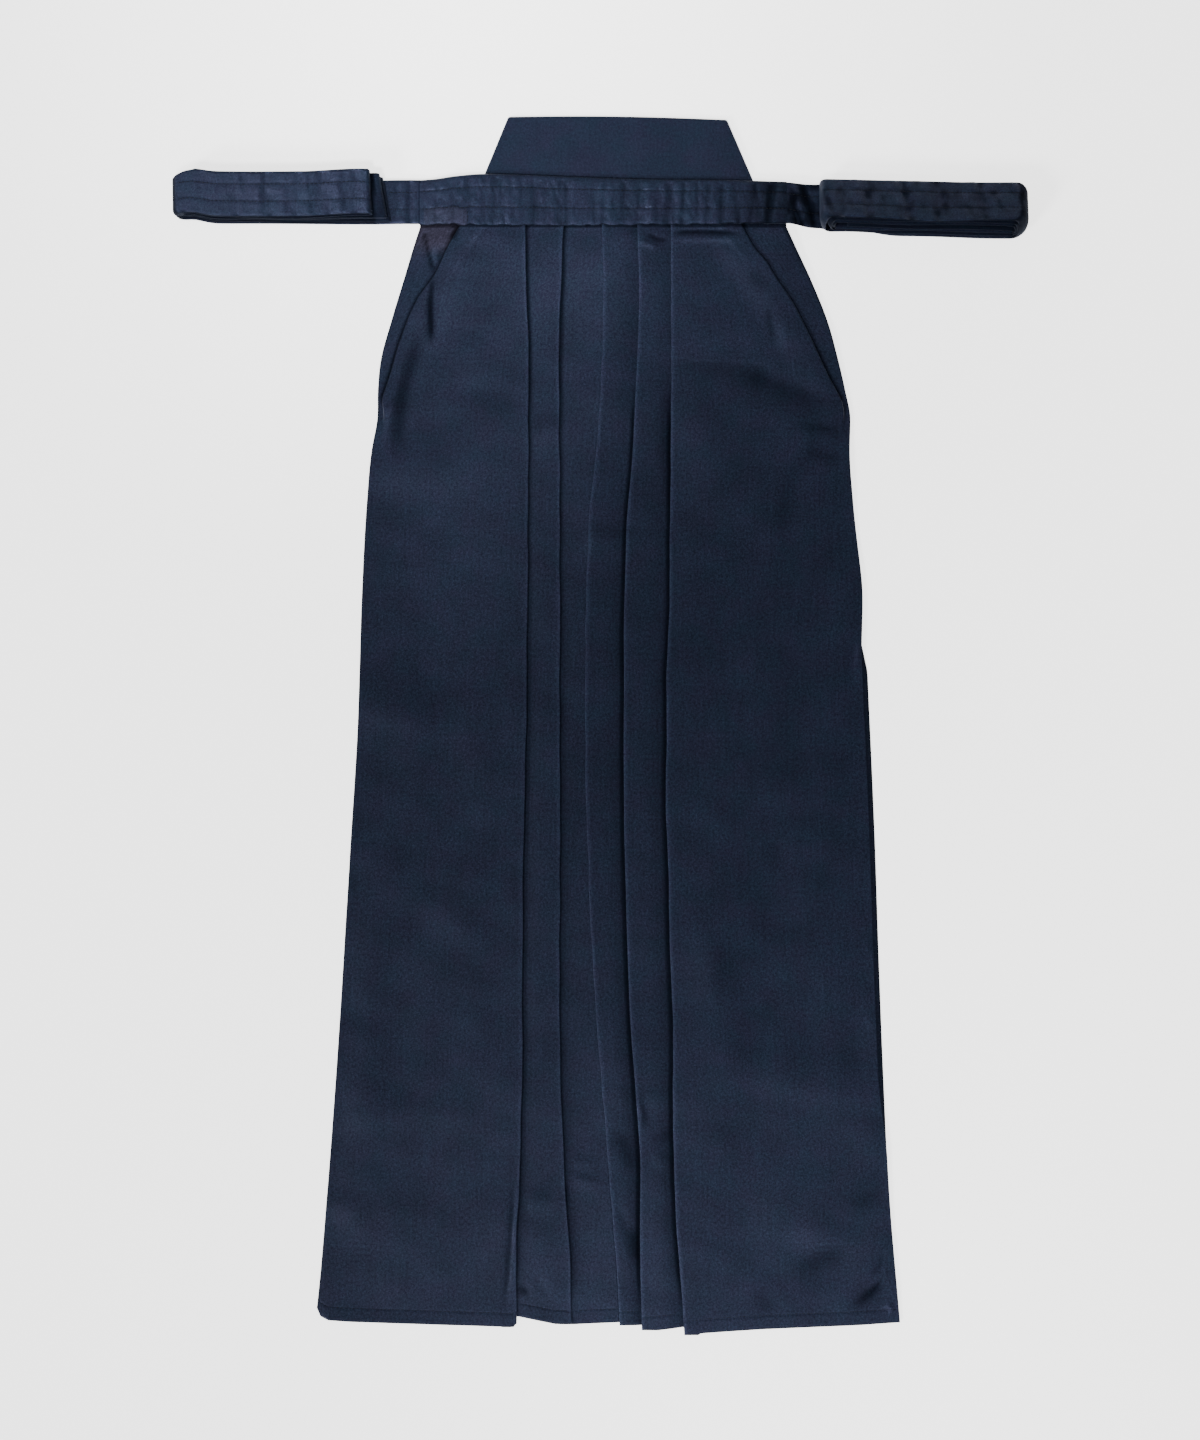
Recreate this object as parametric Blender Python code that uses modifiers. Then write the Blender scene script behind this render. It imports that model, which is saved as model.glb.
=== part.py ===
"""Hakama trousers laid flat on their back, front up, the straps rolled beside the waist.

All sizes are in millimetres until a mesh is made. The origin is at the bottom centre of
the whole garment: +X is the wearer's left, +Y runs from hem to waist, +Z is up from the
surface it lies on. Cloth is a wall made by Solidify on an open middle surface.
"""

import math

import bmesh
import bpy
import numpy as np

MM = 0.001
RIGHT, LEFT = -1, 1  # the wearer's sides, as the sign of X

# Cloth
CLOTH = 1.0  # wall of a panel
STRAP = 1.2  # wall of the front strap, a strip folded and pressed
PLY = 1.5  # from one layer of a pleat to the next, middle to middle
REST_GAP = 0.4  # between pieces that lie on each other
SEAM_GAP = 0.3  # between pieces that are sewn edge to edge
ARC_SEGMENTS = 3  # chords in a pressed fold
FOLD_REACH = PLY / 2 * math.cos(math.radians(90 / ARC_SEGMENTS)) + CLOTH / 2  # turn to outer face
THIRDS = (1 / 3, 2 / 3, 1.0)

# Length of the garment
WAIST_Y = 413.5  # lower edge of the waistband, where the panels come out
HEM_CURVE_Y = -352.0  # above this the cloth rows are straight across

# The garment's outline below the waistband
OUTLINE_COLUMNS = ("y", "right", "left")
OUTLINE = (
    (413.5, -150.0, 153.5),
    (395.0, -155.0, 161.0),
    (370.0, -163.5, 173.5),
    (337.0, -173.5, 187.0),
    (304.0, -182.5, 196.0),
    (279.0, -185.0, 201.5),
    (254.0, -185.5, 205.5),
    (229.0, -190.0, 205.5),
    (187.5, -194.0, 208.5),
    (104.5, -198.5, 216.5),
    (5.0, -201.5, 222.0),
    (-94.5, -207.5, 226.5),
    (-194.0, -213.5, 229.0),
    (-294.0, -220.0, 233.0),
    (-393.5, -227.5, 239.0),
    (-497.0, -235.5, 248.0),
)

# The five front pleats: where each pressed edge lies
PLEAT_COLUMNS = ("y", "p1", "p2", "p3", "p4", "p5")
PLEAT_LINES = (
    (413.5, -63.0, -30.5, 1.0, 30.5, 58.0),
    (362.0, -61.5, -33.0, 2.0, 31.5, 58.0),
    (304.0, -60.0, -35.0, 1.0, 30.0, 58.0),
    (233.0, -60.0, -34.0, -3.5, 26.5, 58.0),
    (158.5, -60.5, -34.0, -10.5, 21.0, 57.5),
    (-28.0, -62.5, -34.0, -13.0, 19.0, 53.5),
    (-128.0, -64.5, -34.0, -10.0, 20.0, 55.5),
    (-194.0, -65.0, -34.0, -7.0, 22.0, 58.0),
    (-302.0, -65.5, -33.0, 1.0, 28.0, 60.0),
    (-368.5, -67.0, -30.5, 6.5, 32.5, 60.5),
    (-447.5, -70.0, -25.5, 12.5, 32.5, 65.5),
    (-497.0, -69.5, -24.0, 15.0, 34.0, 69.0),
)
PLEAT_DEPTH = 22.0  # from a pressed edge to the pleat's inner fold, where there is room
STRIP_RAMP = 9.0  # least width in which a strip climbs to the next pleat's edge
STRIP_LAP = 1.5  # how far a strip lies flat beyond the pressed edge over it
FOLD_CLEAR = 2.5  # from a pleat's inner fold to the ramp beside it

# The side tucks: where each slanting pressed edge lies
TUCK_COLUMNS = ("y", "right", "left")
TUCK_LINES = (
    (415.0, -116.0, 118.5),
    (395.0, -128.0, 130.5),
    (374.5, -137.0, 145.0),
    (353.5, -149.5, 157.5),
    (320.5, -166.0, 172.5),
    (291.5, -174.5, 188.0),
    (272.0, -181.0, 199.0),
)
TUCK_END_INSET = 3.0  # from the pressed edge to the outer edge once the tuck has run out
TUCK_SHAPE_COLUMNS = ("y", "depth", "turn")
TUCK_SHAPE = (
    (415.0, 18.0, 180.0),
    (272.0, 0.4, 180.0),
    (261.0, 0.4, 120.0),
    (249.0, 0.4, 60.0),
    (235.0, 0.4, 15.0),
    (215.0, 0.4, 0.0),
)

# Hem: how far down each stretch of the front reaches
HEM_RIGHT = (
    (-236.0, -481.0),
    (-232.5, -489.0),
    (-226.0, -492.5),
    (-206.5, -494.0),
    (-127.0, -496.5),
    (-69.5, -498.0),
)
HEM_LEFT = (
    (69.0, -504.5),
    (85.5, -503.0),
    (132.0, -500.0),
    (218.5, -496.5),
    (248.0, -494.5),
)
HEM_STEPS = {
    "p1": {"edge": -498.0, "strip_start": -489.5, "strip_end": -495.5},
    "p2": {"edge": -495.5, "strip_start": -496.0, "strip_end": -494.0},
    "p5": {"edge": -504.5, "strip_start": -498.0, "strip_end": -500.5},
    "p4": {"edge": -500.5, "strip_start": -496.5, "strip_end": -496.5},
    "p3": {"edge": -496.5, "strip_start": -495.0, "strip_end": -495.0},
}

# The back panels and the pleat at their centre
SLIT_END_Y = 45.0  # the side slit ends here, and front and back are sewn below it
BACK_TOP_RIGHT = -113.0
BACK_TOP_LEFT = 142.0
BACK_INSET = 2.0  # back edge inside the front edge, right side
LEFT_PEEK = 4.5  # front edge inside the back edge, left side
PEEK_TOP_Y, PEEK_BOTTOM_Y = 125.0, -360.0
PEEK_EASE = 0.15  # share of that length in which the front edge draws in, at each end
BACK_PLEAT_X = 0.0
BACK_PLEAT_DEPTH = 40.0
BACK_RAMP = 11.0
BACK_RAMP_FOOT = BACK_PLEAT_X + BACK_RAMP + 3.0  # where the left panel starts to climb

# The gusset, folded flat beside the back pleat
GUSSET_X = 16.0
GUSSET_TOP_WIDTH, GUSSET_HEM_WIDTH = 14.0, 34.0
GUSSET_TOP_Y, GUSSET_HEM_Y = -76.0, -474.0

# The height that the front lies on: the back wall, raised over the pleat and the board
BED_LOW = CLOTH + REST_GAP
BED_HIGH = CLOTH + 2 * PLY + REST_GAP
BED_RIGHT, BED_LEFT = -90.0, 88.0
BED_WAIST_RIGHT, BED_WAIST_LEFT = -117.0, 146.0
BED_WAIST_Y, BED_NARROW_Y = 412.0, 250.0
BED_RAMP = 40.0
MAIN_RAMP = 30.0  # width in which the outer panel climbs onto the stack of pleats

# Rows of cloth from the waist to the hem; the back stops a little short of the front
FRONT_ROWS = (
    440.0, 413.5, 404.0, 394.0, 374.5, 364.0, 353.5, 320.5, 291.5, 272.0, 261.0, 249.0, 235.0,
    215.0, 187.5, 145.0, 85.0, 5.0, -94.5, -194.0, -294.0, -352.0, -405.0, -455.0, -497.0,
)
BACK_ROWS = (413.2, 350.0, 260.0, 150.0, 45.0, -45.0, -150.0, -260.0, -370.0, -440.0, -482.0)

# The waistband over the panels' top edges
BAND_COLUMNS = ("x", "top", "bottom")
BAND = (
    (-150.0, 452.5, 415.0),
    (-120.5, 455.5, 414.5),
    (-96.5, 457.0, 414.0),
    (-21.5, 454.5, 414.0),
    (40.5, 452.5, 414.8),
    (99.0, 452.0, 415.0),
    (153.5, 450.5, 414.5),
)
BAND_STATIONS = 27
BAND_FOLD = 1.6  # how far the rounded top fold reaches
BAND_RETURN = 8.0  # width turned under, above the panels' tops
BAND_RETURN_LIFT = 0.6
BAND_LEAST = 1.8  # least height from the return to the face, middle to middle
BAND_EASE = 2.0  # kept clear of the tuck and the outer edge where the face comes down

# The back board
BOARD_THICK = 4.0
BOARD_CORNERS = ((-113.5, 413.5), (142.5, 413.5), (104.0, 501.5), (-74.5, 504.0))
BOARD_CORNER_RADIUS = 3.0
BOARD_EDGE = 1.2
BOARD_TOP_RISE = 1.5  # bow of the top edge

# Front strap: a run from each end of the waistband down to a roll of eight layers.
# Distances out are from the centre line. The right roll is folded in half again and
# again, so its far end is nested; the left one is wound, so both its ends are.
STRAP_WIDTH = 36.5
ROLL_PLY = 1.65  # from one layer of a roll to the next
ROLL_FAR = 346.0  # where the layers turn at the far end
TOP_LAYER = 7
ROLLS = {
    RIGHT: {
        "order": (0, 7, 6, 1, 2, 5, 4, 3),  # the layers, from the waistband to the free end
        "near": (191.5, 181.5, 184.0),  # where they turn at the end beside the waist
        "run_end": 179.0,
        "free_end": 185.0,
        "waist_edge": 452.5,  # Y of the upper edge at the waistband
        "shift": 1.4,  # how far that edge moves towards +Y on the run
        "lean": 3.9,  # how far the top layer lies towards +Y of the bottom one
        "fan": 0.0,  # degrees by which the top layer's lower edge is lifted
        "slope": 0.0,  # how far the roll turns towards -Y for each millimetre out
    },
    LEFT: {
        "order": (0, 7, 1, 6, 2, 5, 3, 4),
        "near": (191.0, 191.0, 191.0),
        "run_end": 186.0,
        "free_end": 203.0,
        "waist_edge": 450.0,
        "shift": -4.0,
        "lean": 6.5,
        "fan": 22.0,
        "slope": 0.018,
    },
}
RUN_SHIFT_FROM, RUN_SHIFT_WIDTH = 155.0, 40.0  # where the strap's edge shifts
RUN_SHARES = (0.0, 0.3, 0.6, 1.0)

# Back straps, from the ends of the board out under the rolls, folded to and fro
BACK_STRAP_WIDTH = 30.0
BACK_FOLDS = 3  # layers of each pack
BACK_STRAP_FLAT = 6.0  # straight cloth beyond the board's end and at the free end
BACK_STRAPS = {
    RIGHT: {"far": 338.0, "near": 184.0, "upper_edge": 450.0, "shift": 0.0, "slope": 0.0},
    LEFT: {"far": 340.0, "near": 192.0, "upper_edge": 448.0, "shift": -6.0, "slope": 0.018},
}

NAVY = (0.014, 0.021, 0.044)
NAVY_SMOOTH = (0.013, 0.019, 0.038)


# ---------------------------------------------------------------- curves through tables
def smooth(t):
    """0 to 1 with level ends, clamped outside."""
    t = np.clip(t, 0.0, 1.0)
    return t * t * (3.0 - 2.0 * t)


def along(table, columns, name, at):
    """The named column of a table at a place along its first column, on a smooth curve."""
    rows = sorted(table)
    xs = np.array([row[0] for row in rows], float)
    ys = np.array([row[columns.index(name)] for row in rows], float)
    slopes = np.diff(ys) / np.diff(xs)
    tangents = np.concatenate([slopes[:1], (slopes[:-1] + slopes[1:]) / 2, slopes[-1:]])
    flat = slopes[:-1] * slopes[1:] <= 0
    tangents[1:-1][flat] = 0.0
    at = float(np.clip(at, xs[0], xs[-1]))
    i = int(np.clip(np.searchsorted(xs, at) - 1, 0, len(xs) - 2))
    step = xs[i + 1] - xs[i]
    t = (at - xs[i]) / step
    return float(
        ys[i] * (1 + 2 * t) * (1 - t) ** 2
        + tangents[i] * step * t * (1 - t) ** 2
        + ys[i + 1] * t * t * (3 - 2 * t)
        + tangents[i + 1] * step * t * t * (t - 1)
    )


def bed(x, y):
    """Height of the underside of the front cloth above the ground at (x, y)."""
    wide = smooth((y - BED_NARROW_Y) / (BED_WAIST_Y - BED_NARROW_Y))
    right = BED_RIGHT + (BED_WAIST_RIGHT - BED_RIGHT) * wide
    left = BED_LEFT + (BED_WAIST_LEFT - BED_LEFT) * wide
    beyond = max(right - x, x - left, 0.0)
    return BED_HIGH + (BED_LOW - BED_HIGH) * float(smooth(beyond / BED_RAMP))


def front_edge(side, y):
    """X of the front panel's outer edge."""
    if side == RIGHT:
        return along(OUTLINE, OUTLINE_COLUMNS, "right", y)
    inside = (PEEK_TOP_Y - y) / (PEEK_TOP_Y - PEEK_BOTTOM_Y)
    peek = LEFT_PEEK * float(smooth(inside / PEEK_EASE) * smooth((1.0 - inside) / PEEK_EASE))
    return along(OUTLINE, OUTLINE_COLUMNS, "left", y) - peek


def back_edge(side, y):
    """X of the back panel's outer edge: slanting beside the slit, then on the side seam."""
    name = "right" if side == RIGHT else "left"
    inset = BACK_INSET if side == RIGHT else 0.0
    seam = along(OUTLINE, OUTLINE_COLUMNS, name, y) - side * inset
    if y <= SLIT_END_Y:
        return seam
    top = BACK_TOP_RIGHT if side == RIGHT else BACK_TOP_LEFT
    end = along(OUTLINE, OUTLINE_COLUMNS, name, SLIT_END_Y) - side * inset
    slant = end + (top - end) * (y - SLIT_END_Y) / (BACK_ROWS[0] - SLIT_END_Y)
    return side * min(side * slant, side * seam)


# ---------------------------------------------------------------- making objects
def material(name, colour, roughness):
    made = bpy.data.materials.new(name)
    made.use_nodes = True
    shader = made.node_tree.nodes["Principled BSDF"]
    shader.inputs["Base Color"].default_value = (*colour, 1.0)
    shader.inputs["Roughness"].default_value = roughness
    shader.inputs["Metallic"].default_value = 0.0
    return made


def add_object(name, mesh, finish, collection):
    made = bpy.data.objects.new(name, mesh)
    mesh.materials.append(finish)
    collection.objects.link(made)
    return made


def wall(name, grid, thickness, finish, collection):
    """A cloth wall of even thickness about a grid of points, rows by columns by XYZ in mm."""
    grid = np.asarray(grid, float) * MM
    rows, columns = grid.shape[:2]
    index = np.arange(rows * columns).reshape(rows, columns)
    corners = (index[:-1, :-1], index[:-1, 1:], index[1:, 1:], index[1:, :-1])
    faces = np.stack(corners, axis=-1).reshape(-1, 4)
    mesh = bpy.data.meshes.new(name)
    mesh.from_pydata(grid.reshape(-1, 3).tolist(), [], faces.tolist())
    mesh.shade_smooth()
    made = add_object(name, mesh, finish, collection)
    solid = made.modifiers.new("Cloth", "SOLIDIFY")
    solid.thickness = thickness * MM
    solid.offset = 0.0
    solid.use_even_offset = True
    solid.use_quality_normals = True
    return made


# ---------------------------------------------------------------- front panels
def arc(centre, radius, start, end, steps):
    """(x, height) points on an arc, angles in degrees, both ends included."""
    angles = np.radians(np.linspace(start, end, steps + 1))
    return [(centre[0] + radius * math.cos(a), centre[1] + radius * math.sin(a)) for a in angles]


def tuck_edge(side, y):
    """X of the side tuck's slanting pressed edge."""
    return along(TUCK_LINES, TUCK_COLUMNS, "right" if side == RIGHT else "left", y)


def tuck_section(edge, fold, y):
    """(distance out, height) points from the outer edge in over the side tuck.

    The cloth runs in under the panel, turns up and back to the slanting pressed edge, and
    turns again onto the panel. Further down the two turns open until the cloth is flat.
    """
    turn = math.radians(along(TUCK_SHAPE, TUCK_SHAPE_COLUMNS, "turn", y))
    depth = along(TUCK_SHAPE, TUCK_SHAPE_COLUMNS, "depth", y)
    under = edge - fold
    chord = PLY / 2
    headings = [turn * share for share in (1 / 6, 3 / 6, 5 / 6)]
    steps = [(chord, h) for h in headings] + [(depth, turn)] + [(chord, h) for h in headings[::-1]]
    points = [(run, 0.0) for run in (0.0, under / 2, under, under + depth + FOLD_REACH)]
    for length, heading in steps:
        run, height = points[-1]
        points.append((run + length * math.cos(heading), height + length * math.sin(heading)))
    return [(edge - run, height) for run, height in points]


def outer_stretch(start, end, tuck_height):
    """(distance out, height) points of the panel from its tuck in to the first pleat."""
    span = start - end
    if span > 2 * MAIN_RAMP:
        falls = [MAIN_RAMP * share for share in (0.0, 1 / 2, 1.0)]
        climbs = [span - MAIN_RAMP * share for share in (1.0, 2 / 3, 1 / 3, 0.0)]
        places = falls + [span / 2] + climbs
    else:
        places = np.linspace(0.0, span, 8)
    points = []
    for place in places:
        falling = 1.0 - smooth(place / MAIN_RAMP)
        rising = smooth(1.0 - (span - place) / MAIN_RAMP)
        height = 2 * PLY * rising + tuck_height * falling * (1.0 - rising)
        points.append((start - place, float(height)))
    return points


def pleat_depth(next_strip):
    """Hidden depth of a pleat whose next strip is this wide, so that there is room to climb."""
    return min(PLEAT_DEPTH, next_strip - STRIP_RAMP - FOLD_CLEAR - STRIP_LAP)


def pleat_line(name, y):
    """X of a pleat's pressed edge."""
    return along(PLEAT_LINES, PLEAT_COLUMNS, name, y)


def centre_seam(y):
    """X of the centre-front seam, half-way in under the third pleat."""
    third = pleat_line("p3", y)
    return third + pleat_depth(pleat_line("p4", y) - third) / 2


def pleat(line, depth, hem):
    """(distance out, height, hem height) points round a pressed edge and the inner fold."""
    top_fold = arc((line + FOLD_REACH, 1.5 * PLY), PLY / 2, 90, 270, ARC_SEGMENTS)
    inner_fold = arc((line + depth, 0.5 * PLY), PLY / 2, 90, -90, ARC_SEGMENTS)
    points = [(out, height, hem["edge"]) for out, height in top_fold]
    for share, (out, height) in zip(np.linspace(0.25, 1.0, len(inner_fold)), inner_fold):
        points.append((out, height, hem["edge"] + (hem["strip_start"] - hem["edge"]) * share))
    return points


def strip(start, end, rise, hem):
    """(distance out, height, hem height) points of the strip from a pleat to the next one."""
    points = []
    for share in THIRDS:
        reach = hem["strip_start"] + (hem["strip_end"] - hem["strip_start"]) * share
        points.append((start + (end - start) * share, rise * float(smooth(share)), reach))
    return points


def front_section(side, y):
    """(x, height above the bed, hem height) across a front panel, from its outer edge in.

    Distances are measured towards the outer side, so both panels use the same steps.
    """
    edge = side * front_edge(side, y)
    fold = side * tuck_edge(side, y) if y >= TUCK_LINES[-1][0] else edge - TUCK_END_INSET
    names = ("p1", "p2") if side == RIGHT else ("p5", "p4", "p3")
    lines = [side * pleat_line(name, y) for name in names]
    strips = [outer - inner for outer, inner in zip(lines[:-1], lines[1:])]
    depths = [PLEAT_DEPTH] + [pleat_depth(width) for width in strips]

    section = tuck_section(edge, fold, y)
    tuck_height = section[-1][1]
    start = min(out for out, height in section) - FOLD_CLEAR
    section += outer_stretch(start, lines[0] + depths[0] + FOLD_CLEAR, tuck_height)
    outer_hem = np.array(HEM_RIGHT if side == RIGHT else HEM_LEFT)
    points = []
    for out, height in section:
        points.append((out, height, float(np.interp(side * out, outer_hem[:, 0], outer_hem[:, 1]))))

    seam = side * centre_seam(y) + SEAM_GAP / 2
    for i, (name, line, depth) in enumerate(zip(names, lines, depths)):
        hem = HEM_STEPS[name]
        points += pleat(line, depth, hem)
        if name == "p3":
            points.append((seam, 0.0, hem["strip_start"]))
            break
        lap = line - STRIP_LAP
        points.append((lap, 0.0, hem["strip_start"]))
        if name == "p2":
            points += strip(lap, seam, 0.0, hem)
        else:
            points += strip(lap, lines[i + 1] + depths[i + 1] + FOLD_CLEAR, 2 * PLY, hem)
    return [(side * out, height, reach) for out, height, reach in points]


def front_leg(side):
    """Grid of the front panel's middle surface."""
    grid = []
    for row_y in FRONT_ROWS:
        row = []
        for x, height, hem in front_section(side, row_y):
            y = row_y
            if row_y < HEM_CURVE_Y:
                share = (HEM_CURVE_Y - row_y) / (HEM_CURVE_Y - FRONT_ROWS[-1])
                y = HEM_CURVE_Y + (hem - HEM_CURVE_Y) * share
            row.append((x, y, bed(x, row_y) + CLOTH / 2 + height))
        grid.append(row)
    return grid


# ---------------------------------------------------------------- back panels and gusset
def back_leg(side):
    """Grid of a back panel, which lies on the ground, with its share of the centre pleat."""
    grid = []
    ground, second, third = CLOTH / 2, CLOTH / 2 + PLY, CLOTH / 2 + 2 * PLY
    seam = BACK_PLEAT_X - BACK_PLEAT_DEPTH / 2
    inner = BACK_PLEAT_X - BACK_PLEAT_DEPTH
    flat_end = BACK_PLEAT_X - FOLD_REACH if side == RIGHT else BACK_RAMP_FOOT
    for y in BACK_ROWS:
        edge = back_edge(side, y)
        row = [(edge + (flat_end - edge) * share, ground) for share in (0.0, *THIRDS[:2])]
        if side == RIGHT:
            row += arc((flat_end, (ground + second) / 2), PLY / 2, -90, 90, ARC_SEGMENTS)
        else:
            for share in (0.0, *THIRDS):
                rise = 2 * PLY * float(smooth(share))
                row.append((BACK_RAMP_FOOT - BACK_RAMP * share, ground + rise))
            row += arc((inner, (second + third) / 2), PLY / 2, 90, 270, ARC_SEGMENTS)
        row.append((seam - side * SEAM_GAP / 2, second))
        grid.append([(x, y, z) for x, z in row])
    return grid


def gusset():
    """Grid of the gusset: two layers joined by a fold, wider towards the hem."""
    grid = []
    lower, upper = CLOTH / 2 + PLY, CLOTH / 2 + 2 * PLY
    for share in np.linspace(0.0, 1.0, 5):
        y = GUSSET_TOP_Y + (GUSSET_HEM_Y - GUSSET_TOP_Y) * share
        width = GUSSET_TOP_WIDTH + (GUSSET_HEM_WIDTH - GUSSET_TOP_WIDTH) * share
        fold = arc((GUSSET_X + width, (lower + upper) / 2), PLY / 2, -90, 90, ARC_SEGMENTS)
        row = [(GUSSET_X, lower)] + fold + [(GUSSET_X, upper)]
        grid.append([(x, y, z) for x, z in row])
    return grid


# ---------------------------------------------------------------- waistband
def band_face(x):
    """Height of the middle of the waistband's face: over three layers, then over one."""
    side = RIGHT if x < 0 else LEFT
    fold = abs(tuck_edge(side, WAIST_Y))
    edge = abs(front_edge(side, WAIST_Y))
    beyond = smooth((abs(x) - fold - BAND_EASE) / (edge - fold - 2 * BAND_EASE))
    lying = CLOTH + 2 * PLY * (1.0 - float(beyond)) + REST_GAP + STRAP / 2
    return bed(x, WAIST_Y) + max(lying, BAND_RETURN_LIFT + BAND_LEAST)


def waistband():
    """Grid of the waistband: turned under at the top, its face down over the panels."""
    grid = []
    for x in np.linspace(BAND[0][0], BAND[-1][0], BAND_STATIONS):
        top = along(BAND, BAND_COLUMNS, "top", x) - STRAP / 2
        bottom = along(BAND, BAND_COLUMNS, "bottom", x)
        face = band_face(x)
        under = bed(x, WAIST_Y) + BAND_RETURN_LIFT
        middle, half = (face + under) / 2, (face - under) / 2
        row = [(bottom, face), ((bottom + top) / 2, face)]
        for angle in np.radians(np.linspace(90, -90, 5)):
            y = top - BAND_FOLD + BAND_FOLD * math.cos(angle)
            row.append((y, middle + half * math.sin(angle)))
        row.append((top - BAND_RETURN, under))
        grid.append([(x, y, z) for y, z in row])
    return grid


# ---------------------------------------------------------------- back board
def board_outline():
    """Corner points of the back board with rounded corners and a bowed top edge."""
    corners = [np.array(corner) for corner in BOARD_CORNERS]
    points = []
    for i, corner in enumerate(corners):
        before = corners[i - 1] - corner
        after = corners[(i + 1) % len(corners)] - corner
        before = before / np.linalg.norm(before)
        after = after / np.linalg.norm(after)
        half = math.acos(float(before @ after)) / 2
        reach = BOARD_CORNER_RADIUS / math.tan(half)
        for t in (0.0, 0.33, 0.67, 1.0):
            start, end = corner + before * reach, corner + after * reach
            points.append(start * (1 - t) ** 2 + corner * 2 * t * (1 - t) + end * t * t)
    top_right, top_left = corners[2], corners[3]
    middle = [top_right + (top_left - top_right) * share for share in (0.25, 0.5, 0.75)]
    for point, rise in zip(middle, (0.75, 1.0, 0.75)):
        point[1] += BOARD_TOP_RISE * rise
    return points[:12] + middle + points[12:]


def back_board(finish, collection):
    mesh = bpy.data.meshes.new("koshi_ita")
    form = bmesh.new()
    rim = [form.verts.new((x * MM, y * MM, 0.0)) for x, y in board_outline()]
    face = form.faces.new(rim)
    lifted = bmesh.ops.extrude_face_region(form, geom=[face])
    tops = [item for item in lifted["geom"] if isinstance(item, bmesh.types.BMVert)]
    bmesh.ops.translate(form, verts=tops, vec=(0.0, 0.0, BOARD_THICK * MM))
    bmesh.ops.recalc_face_normals(form, faces=form.faces)
    form.to_mesh(mesh)
    form.free()
    made = add_object("koshi_ita", mesh, finish, collection)
    rounding = made.modifiers.new("Rounded edge", "BEVEL")
    rounding.width = BOARD_EDGE * MM
    rounding.segments = 2
    rounding.limit_method = "ANGLE"
    rounding.angle_limit = math.radians(60)


# ---------------------------------------------------------------- straps
def wound(levels, outer_ends, inner_ends):
    """(distance out, height) points of a strap wound flat, from its first layer to its last.

    levels are the heights that it runs at in turn. It turns from one to the next on a half
    circle, first at the outer end and then by turns; the ends say where each turn starts.
    """
    points = []
    turns = {1: list(outer_ends), -1: list(inner_ends)}
    way = 1
    for now, following in zip(levels[:-1], levels[1:]):
        centre = turns[way].pop(0)
        radius = abs(following - now) / 2
        steps = ARC_SEGMENTS if radius < ROLL_PLY else 2 * ARC_SEGMENTS
        start, end = (-90, 90) if following > now else (90, -90)
        swing = arc((0.0, (now + following) / 2), radius, start, end, steps)
        points += [(centre + way * out, height) for out, height in swing]
        way = -way
    return points


def shifted_edge(out, edge, shift):
    """Y of a strap's upper edge at a distance out, moved by shift beyond the waistband."""
    return edge + shift * float(smooth((out - RUN_SHIFT_FROM) / RUN_SHIFT_WIDTH))


def layer(number):
    """Middle height of a front-strap layer in a roll, above the folded back strap."""
    base = CLOTH + (BACK_FOLDS - 1) * PLY + REST_GAP + STRAP / 2
    return base + number * ROLL_PLY


def strap_run(side, run_end):
    """(distance out, height) points from the waistband's end down to the first layer."""
    band_end = abs(BAND[0][0] if side == RIGHT else BAND[-1][0])
    height = band_face(side * band_end)
    points = []
    for share in RUN_SHARES:
        out = band_end + SEAM_GAP + (run_end - band_end - SEAM_GAP) * share
        points.append((out, height + (layer(0) - height) * float(smooth(share))))
    return points


def front_strap(side):
    """Grid of a front strap, from its upper edge to its lower, from the band to its free end."""
    roll = ROLLS[side]
    levels = [layer(number) for number in roll["order"]]
    path = strap_run(side, roll["run_end"])
    path += wound(levels, [ROLL_FAR] * (len(levels) // 2), roll["near"])
    path.append((roll["free_end"], levels[-1]))
    grid = []
    for out, height in path:
        share = (height - path[0][1]) / (layer(TOP_LAYER) - path[0][1])
        share = min(max(share, 0.0), 1.0)
        tilt = math.radians(roll["fan"] * share)
        upper = shifted_edge(out, roll["waist_edge"], roll["shift"])
        upper += roll["lean"] * share - roll["slope"] * (out - path[0][0])
        row = []
        for across in (0.0, STRAP_WIDTH):
            y = upper - across * math.cos(tilt)
            row.append((side * out, y, height + across * math.sin(tilt)))
        grid.append(row)
    return grid


def back_strap(side):
    """Grid of a back strap, whose first row follows the slanting end of the board."""
    sizes = BACK_STRAPS[side]
    levels = [CLOTH / 2 + number * PLY for number in range(BACK_FOLDS)]
    foot = BOARD_CORNERS[0] if side == RIGHT else BOARD_CORNERS[1]
    head = BOARD_CORNERS[3] if side == RIGHT else BOARD_CORNERS[2]
    slant = (head[0] - foot[0]) / (head[1] - foot[1])
    path = [(abs(foot[0]) + BACK_STRAP_FLAT, levels[0])]
    path += wound(levels, [sizes["far"]], [sizes["near"]])
    path.append((sizes["far"] - BACK_STRAP_FLAT, levels[-1]))
    grid = []
    for out, height in path:
        upper = shifted_edge(out, sizes["upper_edge"], sizes["shift"])
        upper -= sizes["slope"] * (out - path[0][0])
        lower = upper - BACK_STRAP_WIDTH
        grid.append([(side * out, upper, height), (side * out, lower, height)])
    gap = side * SEAM_GAP * math.hypot(1.0, slant)
    beside_board = [(foot[0] + slant * (y - foot[1]) + gap, y, z) for x, y, z in grid[0]]
    return [beside_board] + grid


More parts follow.
